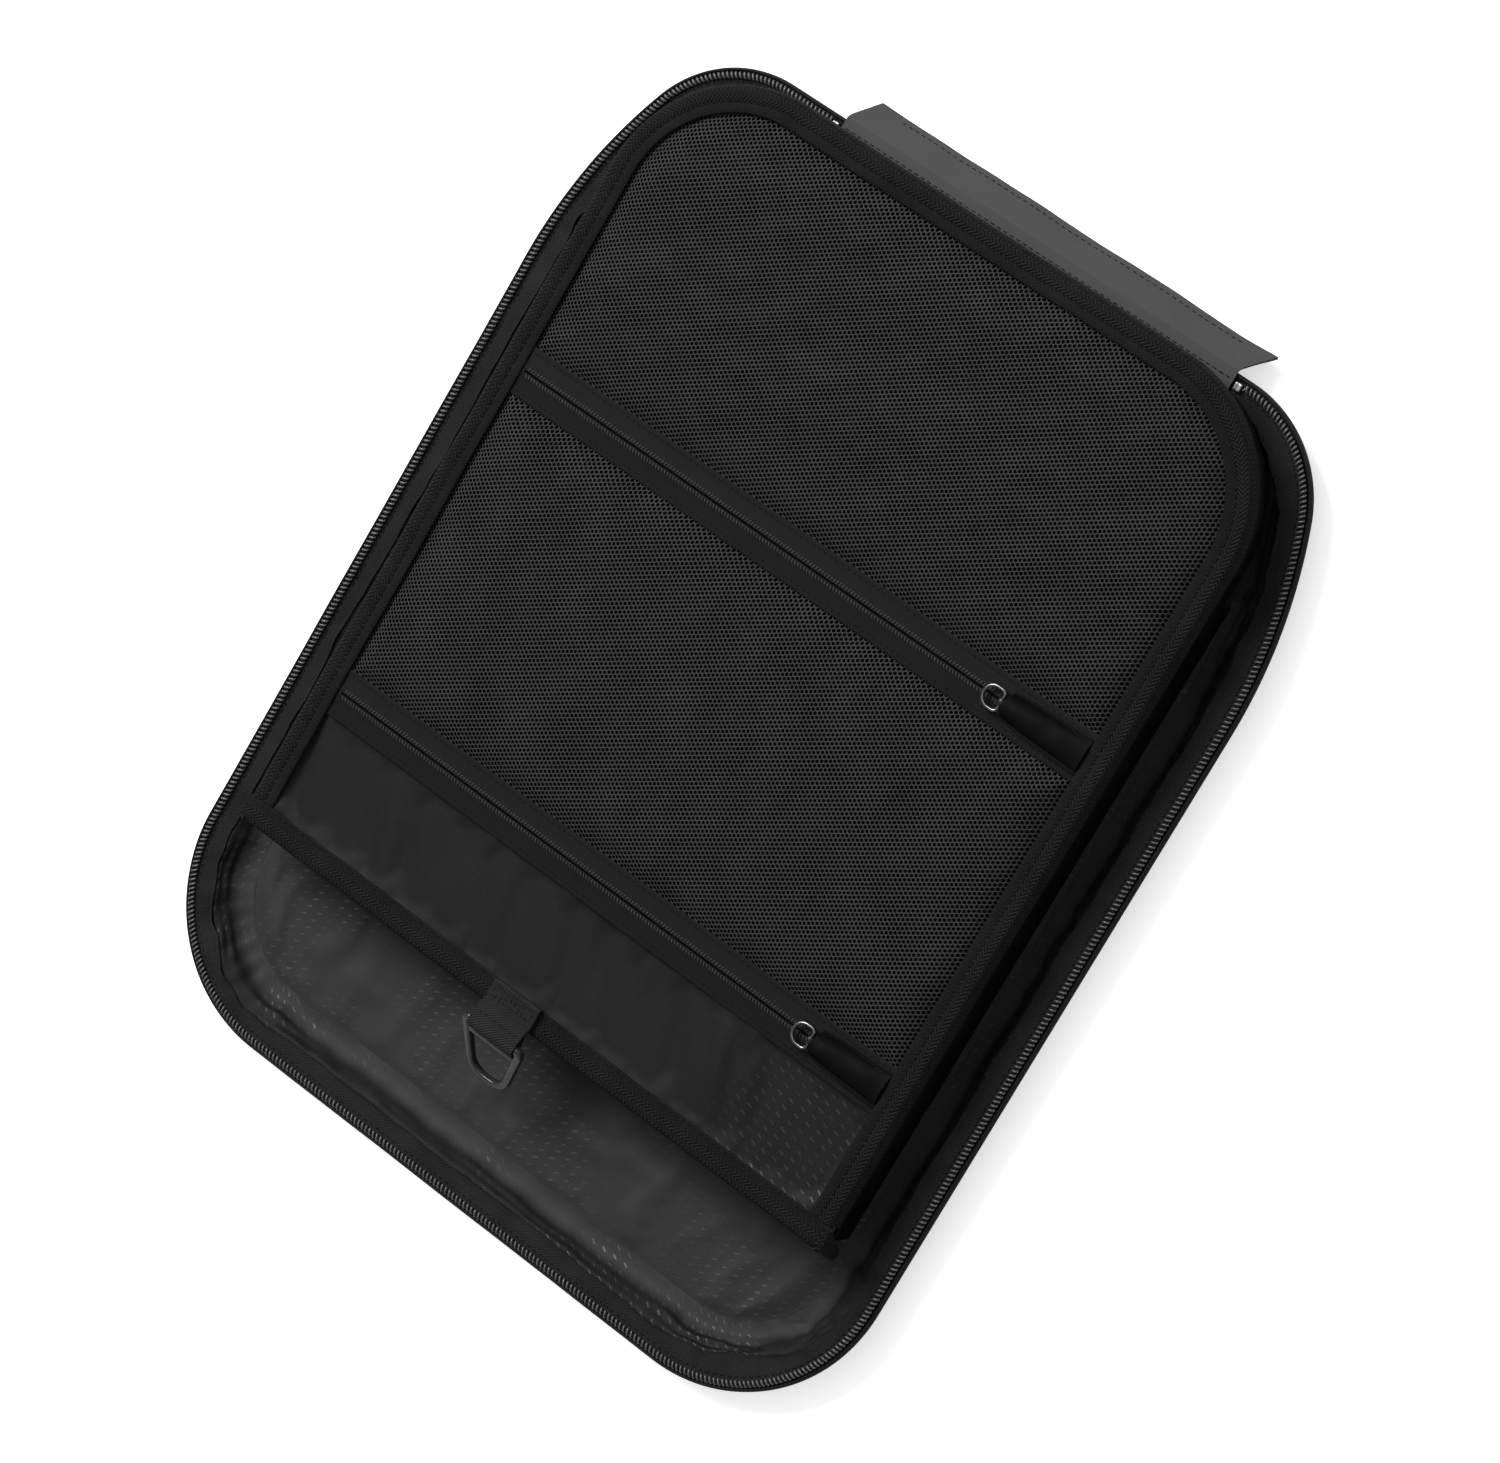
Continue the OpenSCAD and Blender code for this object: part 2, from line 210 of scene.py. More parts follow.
def outline(segs, step, closed):
    """Points, outward normals and arc lengths along lines and arcs that run anticlockwise."""
    p, n = [], []
    for s in segs:
        if s[0] == "l":
            a, b = np.array(s[1], float), np.array(s[2], float)
            ln = np.linalg.norm(b - a)
            if ln < 1e-6:
                continue
            k = max(1, int(round(ln / step)))
            t = (np.arange(k) / k)[:, None]
            p.append(a + (b - a) * t)
            d = (b - a) / ln
            n.append(np.repeat([[d[1], -d[0]]], k, 0))
        else:
            c, r, a0, a1 = np.array(s[1], float), s[2], math.radians(s[3]), math.radians(s[4])
            k = max(2, int(round(r * abs(a1 - a0) / step)))
            t = a0 + (a1 - a0) * np.arange(k) / k
            d = np.stack([np.cos(t), np.sin(t)], 1)
            p.append(c + r * d)
            n.append(d)
    if not closed:
        s = segs[-1]
        if s[0] == "l":
            a, b = np.array(s[1], float), np.array(s[2], float)
            d = (b - a) / np.linalg.norm(b - a)
            p.append(b[None])
            n.append(np.array([[d[1], -d[0]]]))
        else:
            a1 = math.radians(s[4])
            d = np.array([[math.cos(a1), math.sin(a1)]])
            p.append(np.array(s[1]) + s[2] * d)
            n.append(d)
    p, n = np.concatenate(p), np.concatenate(n)
    q = np.concatenate([p, p[:1]]) if closed else p
    ds = np.linalg.norm(np.diff(q, axis=0), axis=1)
    s = np.concatenate([[0], np.cumsum(ds)])
    return p, n, s[:-1] if closed else s, s[-1]


def tray_segs(xa, xb):
    return [("l", (xa, HL), (-CX2, HL)), ("a", (-CX2, CY2), RH, 90, 180 - PHI), ("a", (-(HW - SR), SY), SR, 180 - PHI, 180),
            ("l", (-HW, SY), (-HW, -(HL - RF))), ("a", (-(HW - RF), -(HL - RF)), RF, 180, 270),
            ("l", (-(HW - RF), -HL), (HW - RF, -HL)), ("a", (HW - RF, -(HL - RF)), RF, 270, 360),
            ("l", (HW, -(HL - RF)), (HW, SY)), ("a", (HW - SR, SY), SR, 0, PHI), ("a", (CX2, CY2), RH, PHI, 90),
            ("l", (CX2, HL), (xb, HL))]


def panel_segs(ya=PY0):
    return [("l", (PW, ya), (PW, PY1 - PR)), ("a", (PW - PR, PY1 - PR), PR, 0, 90),
            ("l", (PW - PR, PY1), (-(PW - PR), PY1)), ("a", (-(PW - PR), PY1 - PR), PR, 90, 180),
            ("l", (-PW, PY1 - PR), (-PW, ya))]


def sweep(o, prof, closed_path, closed_prof=True, disp=None, caps=True, geo=None, m=0, vv=None):
    """Sweeps a profile of (inset, z) pairs round an outline."""
    p, n, s, length = o
    prof = np.asarray(prof, float)
    k = len(prof)
    ins = np.repeat(prof[None, :, 0], len(p), 0)
    z = np.repeat(prof[None, :, 1], len(p), 0)
    if disp:
        di, dz = disp(s[:, None], np.arange(k)[None, :])
        ins, z = ins + di, z + dz
    v = np.empty((len(p), k, 3))
    v[..., :2] = p[:, None, :] - n[:, None, :] * ins[..., None]
    v[..., 2] = z
    idx = np.arange(len(p) * k).reshape(len(p), k)
    a = idx if closed_path else idx[:-1]
    b = np.roll(idx, -1, 0) if closed_path else idx[1:]
    if closed_prof:
        a2, b2 = np.roll(a, -1, 1), np.roll(b, -1, 1)
    else:
        a, a2, b, b2 = a[:, :-1], a[:, 1:], b[:, :-1], b[:, 1:]
    quads = np.stack([a, b, b2, a2], -1).reshape(-1, 4)
    step = np.linalg.norm(np.diff(np.concatenate([prof, prof[:1]]), axis=0), axis=1)
    vc = np.concatenate([[0], np.cumsum(step)]) if vv is None else np.asarray(vv, float)
    su = np.concatenate([s, [length]])
    ua, ub = su[:len(a)], su[1:len(a) + 1]
    va, vb = vc[:a.shape[1]], vc[1:a.shape[1] + 1]
    uu = np.stack(np.broadcast_arrays(ua[:, None], ub[:, None], ub[:, None], ua[:, None]), -1)
    uu = np.broadcast_to(uu, (len(a), a.shape[1], 4))
    vq = np.broadcast_to(np.stack([va, va, vb, vb], -1)[None], (len(a), a.shape[1], 4))
    uv = np.stack([uu, vq], -1).reshape(-1, 4, 2)
    geo = geo or Geo()
    groups, uvs = [quads], [uv]
    if caps and closed_prof and not closed_path:
        groups += [idx[0][None, :], idx[-1][None, ::-1]]
        uvs += [None, None]
    geo.add(v, groups, uvs, m)
    return geo


def tube(c, a, b, ra, rb=None, sides=8, closed=False, geo=None, m=0):
    """A tube along points c, whose cross axes are a and b with radii ra and rb."""
    c, a, b = (np.asarray(q, float) for q in (c, a, b))
    n = len(c)
    ra = np.broadcast_to(np.asarray(ra, float), (n,))
    rb = ra if rb is None else np.broadcast_to(np.asarray(rb, float), (n,))
    ph = np.arange(sides) / sides * 2 * np.pi
    v = c[:, None] + a[:, None] * (ra[:, None] * np.cos(ph))[..., None] + b[:, None] * (rb[:, None] * np.sin(ph))[..., None]
    idx = np.arange(n * sides).reshape(n, sides)
    p = idx if closed else idx[:-1]
    q = np.roll(idx, -1, 0) if closed else idx[1:]
    quads = np.stack([p, q, np.roll(q, -1, 1), np.roll(p, -1, 1)], -1).reshape(-1, 4)
    ln = np.concatenate([[0], np.cumsum(np.linalg.norm(np.diff(c, axis=0), axis=1))])
    ln = np.concatenate([ln, [ln[-1] + 1]])
    circ = np.arange(sides + 1) / sides * 2 * np.pi * float(ra.mean())
    u0, u1 = ln[:len(p)], ln[1:len(p) + 1]
    uu = np.broadcast_to(np.stack([u0, u1, u1, u0], -1)[:, None], (len(p), sides, 4))
    vq = np.broadcast_to(np.stack([circ[:-1], circ[:-1], circ[1:], circ[1:]], -1)[None], (len(p), sides, 4))
    geo = geo or Geo()
    groups, uvs = [quads], [np.stack([uu, vq], -1).reshape(-1, 4, 2)]
    if not closed:
        groups += [idx[0][None, :], idx[-1][None, ::-1]]
        uvs += [None, None]
    geo.add(v, groups, uvs, m)
    return geo


def along(p, s):
    """Points and unit tangents at arc lengths s along the polyline p."""
    p = np.asarray(p, float)
    d = np.linalg.norm(np.diff(p, axis=0), axis=1)
    t = np.concatenate([[0], np.cumsum(d)])
    q = np.stack([np.interp(s, t, p[:, i]) for i in range(3)], -1)
    e = 0.4
    q0 = np.stack([np.interp(np.asarray(s) - e, t, p[:, i]) for i in range(3)], -1)
    q1 = np.stack([np.interp(np.asarray(s) + e, t, p[:, i]) for i in range(3)], -1)
    g = q1 - q0
    return q, g / np.maximum(np.linalg.norm(g, axis=-1, keepdims=True), 1e-9)


def length(p):
    return float(np.linalg.norm(np.diff(np.asarray(p, float), axis=0), axis=1).sum())


def stitches(geo, p, nrm, ln=2.4, pitch=3.3, r=0.26, m=0, lift=0.12, skew=0.0, sides=6):
    """A row of sewn stitches along the polyline p on a surface with normal nrm: each is a short round thread that dips in at its ends."""
    total = length(p)
    count = int((total - 0.6) / pitch)
    if count < 1:
        return geo
    s0 = (total - (count - 1) * pitch - ln) / 2 + np.arange(count) * pitch
    t = np.array([0.0, 0.12, 0.35, 0.65, 0.88, 1.0])
    rr = np.array([0.35, 0.8, 1.0, 1.0, 0.8, 0.35]) * r
    hh = np.array([-0.9, -0.2, 0.35, 0.35, -0.2, -0.9]) * r + lift
    s = s0[:, None] + t[None] * ln
    c, tan = along(p, s.ravel())
    c, tan = c.reshape(count, 6, 3), tan.reshape(count, 6, 3)
    nn = np.asarray(nrm, float)
    if nn.ndim == 1:
        nn = np.broadcast_to(nn, c.shape)
    else:
        d = np.concatenate([[0], np.cumsum(np.linalg.norm(np.diff(np.asarray(p, float), axis=0), axis=1))])
        nn = np.stack([np.interp(s.ravel(), d, nn[:, i]) for i in range(3)], -1).reshape(count, 6, 3)
    side = np.cross(nn, tan)
    side /= np.maximum(np.linalg.norm(side, axis=-1, keepdims=True), 1e-9)
    c = c + nn * hh[None, :, None] + side * ((t - 0.5) * skew)[None, :, None]
    ph = np.arange(sides) / sides * 2 * np.pi
    v = c[:, :, None] + side[:, :, None] * (rr[None, :, None] * np.cos(ph))[..., None] + nn[:, :, None] * (rr[None, :, None] * np.sin(ph))[..., None]
    idx = np.arange(count * 6 * sides).reshape(count, 6, sides)
    a, b = idx[:, :-1], idx[:, 1:]
    quads = np.stack([a, b, np.roll(b, -1, 2), np.roll(a, -1, 2)], -1).reshape(-1, 4)
    uv = np.tile(np.array([[0, 0], [1, 0], [1, 1], [0, 1]], float), (len(quads), 1, 1))
    caps0, caps1 = idx[:, 0], idx[:, -1][:, ::-1]
    geo.add(v.reshape(-1, 3), [quads, caps0, caps1], [uv, None, None], m)
    return geo


def slab(top, bottom, geo=None, m=0, uv=None):
    """A closed sheet from two grids of points, (rows, columns, 3), top and bottom."""
    r, c = top.shape[:2]
    idx = np.arange(r * c).reshape(r, c)
    a, b, d, e = idx[:-1, :-1], idx[:-1, 1:], idx[1:, 1:], idx[1:, :-1]
    up = np.stack([a, b, d, e], -1).reshape(-1, 4)
    dn = up[:, ::-1] + r * c
    edge = np.concatenate([idx[0, :], idx[1:, -1], idx[-1, -2::-1], idx[-2:0:-1, 0]])
    nx = np.roll(edge, -1)
    side = np.stack([nx, edge, edge + r * c, nx + r * c], -1)
    v = np.concatenate([top.reshape(-1, 3), bottom.reshape(-1, 3)])
    if uv is None:
        uv = top[..., :2].reshape(-1, 2)
    uv2 = np.concatenate([uv, uv])
    geo = geo or Geo()
    geo.add(v, [up, dn, side], [uv2[up], uv2[dn], uv2[side]], m)
    return geo


def grid_xy(half, ys, cols):
    """Rows at ys whose half width is half(y): (rows, columns, 2)."""
    t = np.linspace(-1, 1, cols)
    w = np.array([half(y) for y in ys])
    return np.stack([w[:, None] * t[None], np.broadcast_to(np.array(ys)[:, None], (len(ys), cols))], -1)


def tray_half(inset):
    def f(y):
        if y < -(HL - RF):
            r, d = RF - inset, -(HL - RF) - y
            return (HW - RF) + math.sqrt(max(0.0, r * r - d * d))
        if y > CY2 + (RH - inset) * math.sin(math.radians(PHI)):
            r, d = RH - inset, y - CY2
            return CX2 + math.sqrt(max(0.0, r * r - d * d))
        if y > SY:
            r, d = SR - inset, y - SY
            return (HW - SR) + math.sqrt(max(0.0, r * r - d * d))
        return HW - inset
    return f


def panel_half(inset):
    def f(y):
        if y > PY1 - PR:
            r, d = PR - inset, y - (PY1 - PR)
            return (PW - PR) + math.sqrt(max(0.0, r * r - d * d))
        return PW - inset
    return f


def rows(y0, y1, step, r0, r1):
    """Row positions from y0 to y1, packed closer in the round corners of radius r0 and r1 at each end."""
    out = []
    if r0:
        k = max(4, int(r0 * 1.57 / step))
        out += [y0 + r0 * (1 - math.cos(math.pi / 2 * i / k)) for i in range(k)]
    a, b = y0 + r0, y1 - r1
    k = max(2, int((b - a) / step))
    out += [a + (b - a) * i / k for i in range(k + (0 if r1 else 1))]
    if r1:
        k = max(4, int(r1 * 1.57 / step))
        out += [b + r1 * math.sin(math.pi / 2 * i / k) for i in range(k + 1)]
    return out


def rbox(centre, half, r, n=6, shape=None, geo=None, m=0):
    """A box with rounded edges and corners, as one closed grid, with an optional change of shape."""
    half = np.asarray(half, float)
    t = np.linspace(-1, 1, n + 1)
    seen, verts, quads = {}, [], []

    def key(p):
        k = tuple(np.round(p, 6))
        if k not in seen:
            seen[k] = len(verts)
            verts.append(p)
        return seen[k]
    for ax in range(3):
        for sg in (-1, 1):
            for i in range(n):
                for j in range(n):
                    q = []
                    for di, dj in ((0, 0), (1, 0), (1, 1), (0, 1)):
                        p = [0, 0, 0]
                        p[ax] = sg
                        p[(ax + 1) % 3] = t[i + di]
                        p[(ax + 2) % 3] = t[j + dj]
                        q.append(key(tuple(p)))
                    quads.append(q if sg > 0 else q[::-1])
    p = np.array(verts, float)
    # spread the cuts so that the edges get most of them
    p = np.sign(p) * (1 - (1 - np.abs(p)) ** 1.6)
    q = p * half
    inner = np.clip(q, -(half - r), half - r)
    d = q - inner
    ln = np.linalg.norm(d, axis=1, keepdims=True)
    d = np.where(ln > 1e-9, d / np.maximum(ln, 1e-9), 0)
    q = inner + d * r
    if shape is not None:
        q = shape(q)
    geo = geo or Geo()
    geo.add(q + np.asarray(centre, float), [np.array(quads)], None, m)
    return geo


# ---- materials ------------------------------------------------------------

class E:
    """A value in a material's node tree that can be added, multiplied and so on."""

    def __init__(self, nt, o):
        self.nt, self.o = nt, o

    def op(self, name, *a):
        n = self.nt.nodes.new("ShaderNodeMath")
        n.operation = name
        for i, x in enumerate((self,) + a):
            if isinstance(x, E):
                self.nt.links.new(x.o, n.inputs[i])
            else:
                n.inputs[i].default_value = float(x)
        return E(self.nt, n.outputs[0])

    def __add__(self, x): return self.op("ADD", x)
    def __sub__(self, x): return self.op("SUBTRACT", x)
    def __mul__(self, x): return self.op("MULTIPLY", x)
    def __truediv__(self, x): return self.op("DIVIDE", x)
    def sin(self): return self.op("SINE")
    def fract(self): return self.op("FRACT")
    def floor(self): return self.op("FLOOR")
    def abs(self): return self.op("ABSOLUTE")
    def max(self, x): return self.op("MAXIMUM", x)
    def min(self, x): return self.op("MINIMUM", x)
    def pow(self, x): return self.op("POWER", x)
    def inv(self): return (self * -1.0) + 1.0

    def step(self, a, b):
        """0 below a, 1 above b, and smooth between."""
        n = self.nt.nodes.new("ShaderNodeMapRange")
        n.interpolation_type = "SMOOTHSTEP"
        self.nt.links.new(self.o, n.inputs["Value"])
        n.inputs["From Min"].default_value = a
        n.inputs["From Max"].default_value = b
        return E(self.nt, n.outputs["Result"])


class Mat:
    def __init__(self, name):
        self.m = bpy.data.materials.new(name)
        self.m.use_nodes = True
        self.nt = self.m.node_tree
        self.nt.nodes.clear()
        self.out = self.nt.nodes.new("ShaderNodeOutputMaterial")
        self.b = self.nt.nodes.new("ShaderNodeBsdfPrincipled")
        self.nt.links.new(self.b.outputs[0], self.out.inputs[0])
        self._uv = None
        self._obj = None

    def uv(self):
        if not self._uv:
            n = self.nt.nodes.new("ShaderNodeUVMap")
            n.uv_map = "cloth_uv"
            s = self.nt.nodes.new("ShaderNodeSeparateXYZ")
            self.nt.links.new(n.outputs[0], s.inputs[0])
            self._uv = (E(self.nt, s.outputs[0]), E(self.nt, s.outputs[1]), n.outputs[0])
        return self._uv

    def obj(self):
        """The point in the piece's own space, in mm."""
        if not self._obj:
            n = self.nt.nodes.new("ShaderNodeTexCoord")
            s = self.nt.nodes.new("ShaderNodeVectorMath")
            s.operation = "SCALE"
            s.inputs["Scale"].default_value = 1000.0
            self.nt.links.new(n.outputs["Object"], s.inputs[0])
            self._obj = s.outputs[0]
        return self._obj

    def noise(self, size, detail=2.0, rough=0.5, uv=True, stretch=None):
        """Noise whose lumps are about size mm across, 0 to 1."""
        n = self.nt.nodes.new("ShaderNodeTexNoise")
        n.inputs["Scale"].default_value = 1.0 / size
        n.inputs["Detail"].default_value = detail
        n.inputs["Roughness"].default_value = rough
        src = self.uv()[2] if uv else self.obj()
        if stretch:
            k = self.nt.nodes.new("ShaderNodeVectorMath")
            k.operation = "MULTIPLY"
            k.inputs[1].default_value = stretch
            self.nt.links.new(src, k.inputs[0])
            src = k.outputs[0]
        self.nt.links.new(src, n.inputs["Vector"])
        return E(self.nt, n.outputs["Fac"])

    def mix(self, fac, a, b):
        n = self.nt.nodes.new("ShaderNodeMix")
        n.data_type = "RGBA"
        self.nt.links.new(fac.o, n.inputs[0])
        for s, c in ((n.inputs[6], a), (n.inputs[7], b)):
            if isinstance(c, (tuple, list)):
                s.default_value = (c[0], c[1], c[2], 1)
            else:
                self.nt.links.new(c, s)
        return n.outputs[2]

    def set(self, key, x):
        s = self.b.inputs[key]
        if isinstance(x, E):
            self.nt.links.new(x.o, s)
        elif hasattr(x, "is_linked") or hasattr(x, "node"):
            self.nt.links.new(x, s)
        elif isinstance(x, (tuple, list)):
            s.default_value = (x[0], x[1], x[2], 1)
        else:
            s.default_value = float(x)

    def bump(self, layers):
        """layers of (height, millimetres of relief), finest last."""
        prev = None
        for h, mm in layers:
            n = self.nt.nodes.new("ShaderNodeBump")
            n.inputs["Strength"].default_value = 1.0
            n.inputs["Distance"].default_value = mm * MM
            self.nt.links.new(h.o, n.inputs["Height"])
            if prev:
                self.nt.links.new(prev, n.inputs["Normal"])
            prev = n.outputs[0]
        self.nt.links.new(prev, self.b.inputs["Normal"])


def grey(v, warm=0.0):
    return (v * (1 + warm), v, v * (1 - warm))


TAU = 2 * math.pi


def plain(u, v, pu, pv):
    """Plain weave: threads over and under."""
    return (u * (TAU / pu)).sin() * (v * (TAU / pv)).sin() * 0.5 + 0.5


def twill(u, v, pitch, slope=1.0):
    t = ((u + v * slope) / pitch).fract()
    return ((t - 0.5).abs() * -2.0 + 1.0).pow(0.8)


def fabric(name, dark, light, height, relief=0.06, rough=0.78, spec=0.12, sheen=0.05, lumps=14.0, lump_share=0.25, extra=None):
    """A woven cloth: height picks thread tops from gaps, with slow colour variation and fine fuzz."""
    a = Mat(name)
    u, v, _ = a.uv()
    h = height(a, u, v)
    slow = a.noise(lumps, 3)
    fuzz = a.noise(0.5, 2, 0.6)
    f = (h * 0.75 + fuzz * 0.5 + (slow - 0.5) * (2 * lump_share)).max(0.0).min(1.0)
    col = a.mix(f, grey(dark), grey(light))
    r = (fuzz - 0.5) * 0.16 + rough
    s = None
    if extra:
        col, r, s = extra(a, u, v, col, r)
    a.set("Base Color", col)
    a.set("Roughness", r)
    a.set("Specular IOR Level", s if s is not None else spec)
    a.set("Sheen Weight", sheen)
    a.set("Sheen Roughness", 0.5)
    a.bump([(slow, 0.25), (h, relief), (fuzz, relief * 0.5)])
    return a.m


def dashes(a, u, v, tilt=-21.0, du=5.7, dv=3.8, skew=0.21, lx=1.25, ly=0.36):
    """Short woven floats on a slanting lattice: 1 on a float."""
    row = (v / dv).floor()
    fv = ((v / dv).fract() - 0.5) * dv
    fu = (((u - row * (dv * skew)) / du).fract() - 0.5) * du
    c, s = math.cos(math.radians(tilt)), math.sin(math.radians(tilt))
    x = (fu * c + fv * s).abs()
    y = (fv * c - fu * s).abs()
    return x.step(lx - 0.35, lx + 0.2).inv() * y.step(ly - 0.18, ly + 0.14).inv()


def lining_mat(name, tilt, dark, light, rough=0.58, spec=0.10, glow=0.050, edge=False, lumps=20.0, walls=False):
    def h(a, u, v):
        return plain(u, v, 0.9, 0.9)

    def extra(a, u, v, col, r):
        # lighter dashes: partly the lining's woven pattern, partly a painted glint; they are kept to patches, and on
        # the flap (edge) to its right end only
        d = dashes(a, u, v, tilt)
        patch = a.noise(9.0, 1).step(0.35, 0.6)
        d = d * (patch * 0.6 + 0.4)
        d = d * 0.6 * ((u + a.noise(22.0, 1) * 30.0).step(96, 118) if edge else a.noise(48.0, 1).step(0.44, 0.60))
        col = a.mix(d, col, grey(glow))
        if walls:
            # painted shade: the walls go black towards the top, under the rim tape by the zip, in blotches; low down
            # they keep the lining's colour
            n = a.nt.nodes.new("ShaderNodeSeparateXYZ")
            a.nt.links.new(a.obj(), n.inputs[0])
            up = E(a.nt, n.outputs[2]).step(6.6, 11.5)
            col = a.mix(up * (a.noise(6.0, 3) * 0.5 + 0.55), col, grey(0.003))
        return col, r - d * 0.26, d * 0.40 + spec
    return fabric(name, dark, light, h, 0.05, rough, spec, 0.0, lumps, 0.2 if lumps > 10 else 0.4, extra)


def metal_mat(name, dark, light, rough, scratch=2.0, metallic=1.0, spec=0.5):
    a = Mat(name)
    wear = a.noise(scratch, 4, 0.6, uv=False)
    fine = a.noise(0.25, 3, 0.6, uv=False)
    a.set("Base Color", a.mix(wear, grey(dark), grey(light)))
    a.set("Metallic", metallic)
    a.set("Roughness", (fine - 0.5) * 0.18 + rough)
    a.set("Specular IOR Level", spec)
    a.bump([(wear, 0.02), (fine, 0.006)])
    return a.m


def make_materials():
    g = {}
    # moulded shell: matt polycarbonate with a fine spark-eroded grain
    a = Mat("shell_polycarbonate")
    grain = a.noise(0.55, 3, 0.6, uv=False)
    slow = a.noise(60, 2, uv=False)
    scuff = a.noise(7.0, 5, 0.7, uv=False, stretch=(1.0, 0.12, 1.0)).step(0.62, 0.8)
    a.set("Base Color", a.mix((grain * 0.5 + slow * 0.5), grey(0.018), grey(0.032)))
    a.set("Roughness", (grain - 0.5) * 0.2 + (scuff * -0.06) + 0.46)
    a.set("Specular IOR Level", 0.4)
    a.bump([(grain, 0.035), (scuff, 0.006)])
    g["shell"] = a.m

    g["piping"] = fabric("piping_braid", 0.002, 0.009, lambda a, u, v: twill(u, v, 1.1, 1.6), 0.10, 0.62, 0.14, 0.0)
    g["rim_tape"] = fabric("rim_tape_weave", 0.002, 0.022, lambda a, u, v: twill(u, ((v / 3.2).fract() - 0.5).abs() * 3.2, 1.6, 1.7).pow(1.5), 0.18, 0.66, 0.07, 0.0, 22, 0.35)
    g["coil"] = None
    a = Mat("coil_nylon")
    w = a.noise(3.0, 3, uv=False)
    fine = a.noise(0.3, 2, uv=False)
    a.set("Base Color", a.mix(w, grey(0.055), grey(0.095)))
    a.set("Roughness", (fine - 0.5) * 0.15 + 0.30)
    a.set("Specular IOR Level", 0.6)
    a.bump([(fine, 0.01)])
    g["coil"] = a.m
    g["coil_dark"] = metal_mat("coil_nylon_black", 0.006, 0.016, 0.36, 3.0, 0.0, 0.5)
    g["stops"] = metal_mat("stop_metal", 0.16, 0.34, 0.38, 1.5)
    a = Mat("pad_foam")
    cells = a.noise(0.9, 4, 0.7, uv=False)
    a.set("Base Color", a.mix(cells, grey(0.10), grey(0.19)))
    a.set("Roughness", 0.95)
    a.set("Specular IOR Level", 0.1)
    a.bump([(cells, 0.3)])
    g["foam"] = a.m
    g["lining"] = lining_mat("lining_jacquard", 28.0, 0.010, 0.038)
    # the walls' copy has painted shade: darker towards the top, under the rim tape
    g["side_lining"] = lining_mat("lining_jacquard_walls", 28.0, 0.010, 0.038, 0.58, 0.10, 0.050, False, 20.0, True)
    # the flap's lighter dashes are kept to its right end: a painted glint on the woven pattern
    g["nylon"] = lining_mat("flap_jacquard", -21.0, 0.004, 0.013, 0.54, 0.10, 0.024, True)
    g["hinge_fabric"] = fabric("hinge_cloth", 0.034, 0.062, lambda a, u, v: plain(u, v, 0.8, 0.8), 0.05, 0.68, 0.12, 0.0, 26, 0.12)
    g["backing"] = fabric("backing_nylon", 0.0005, 0.0025, lambda a, u, v: plain(u, v, 0.7, 0.7), 0.05, 0.7, 0.03, 0.0, 30, 0.3)
    g["net"] = fabric("net_knit", 0.017, 0.044, lambda a, u, v: plain(u, v, 0.45, 0.45), 0.06, 0.55, 0.14, 0.0, 26, 0.05)
    # painted light and shade: a lighter copy of the tape for the hinge side and a darker copy for the mouth side
    g["zip_tape"] = fabric("zip_tape_upper", 0.003, 0.010, lambda a, u, v: twill(u, v, 0.9, 2.2), 0.05, 0.66, 0.08, 0.0, 18, 0.12)
    g["zip_tape_low"] = fabric("zip_tape_lower", 0.003, 0.009, lambda a, u, v: twill(u, v, 0.9, 2.2), 0.05, 0.66, 0.06, 0.0, 18, 0.16)
    g["garage"] = fabric("garage_cloth", 0.0005, 0.004, lambda a, u, v: plain(u, v, 0.7, 0.7), 0.04, 0.6, 0.05, 0.0, 9, 0.25)

    def bind_h(a, u, v):
        # herringbone: the twill's slope turns over every few millimetres
        fold = ((v / 4.4).fract() - 0.5).abs() * 4.4
        outer = twill(u, fold, 1.9, 1.15).pow(1.6)
        inner = plain(u, v, 1.3, 1.1)
        k = v.step(7.2, 7.9)
        return outer * k.inv() + inner * k * 0.75
    g["binding"] = fabric("binding_twill", 0.0001, 0.019, bind_h, 0.40, 0.66, 0.03, 0.0, 24, 0.2)
    g["gusset"] = fabric("gusset_nylon", 0.002, 0.006, lambda a, u, v: plain(u, v, 0.8, 0.8), 0.05, 0.6, 0.08, 0.0, 16, 0.3)
    g["webbing"] = fabric("webbing_ribs", 0.001, 0.024, lambda a, u, v: (twill(u, v, 1.25, 0.8).pow(1.5)), 0.30, 0.6, 0.12, 0.0, 14, 0.2)
    g["thread"] = fabric("thread_twist", 0.001, 0.006, lambda a, u, v: twill(u, v, 0.35, 1.0), 0.03, 0.6, 0.10, 0.0, 6, 0.1)
    g["tick"] = fabric("coil_stitch", 0.020, 0.065, lambda a, u, v: twill(u, v, 0.5, 1.0), 0.03, 0.5, 0.25, 0.0, 9, 0.25)
    g["ring"] = metal_mat("ring_coated", 0.012, 0.022, 0.30, 2.5, 0.0, 0.55)
    g["slider"] = metal_mat("slider_black", 0.015, 0.035, 0.34, 1.2, 0.6)
    g["pull_wire"] = metal_mat("pull_wire_black", 0.10, 0.22, 0.24, 1.5, 1.0)
    return g


G = make_materials()


# ---- cloth ----------------------------------------------------------------

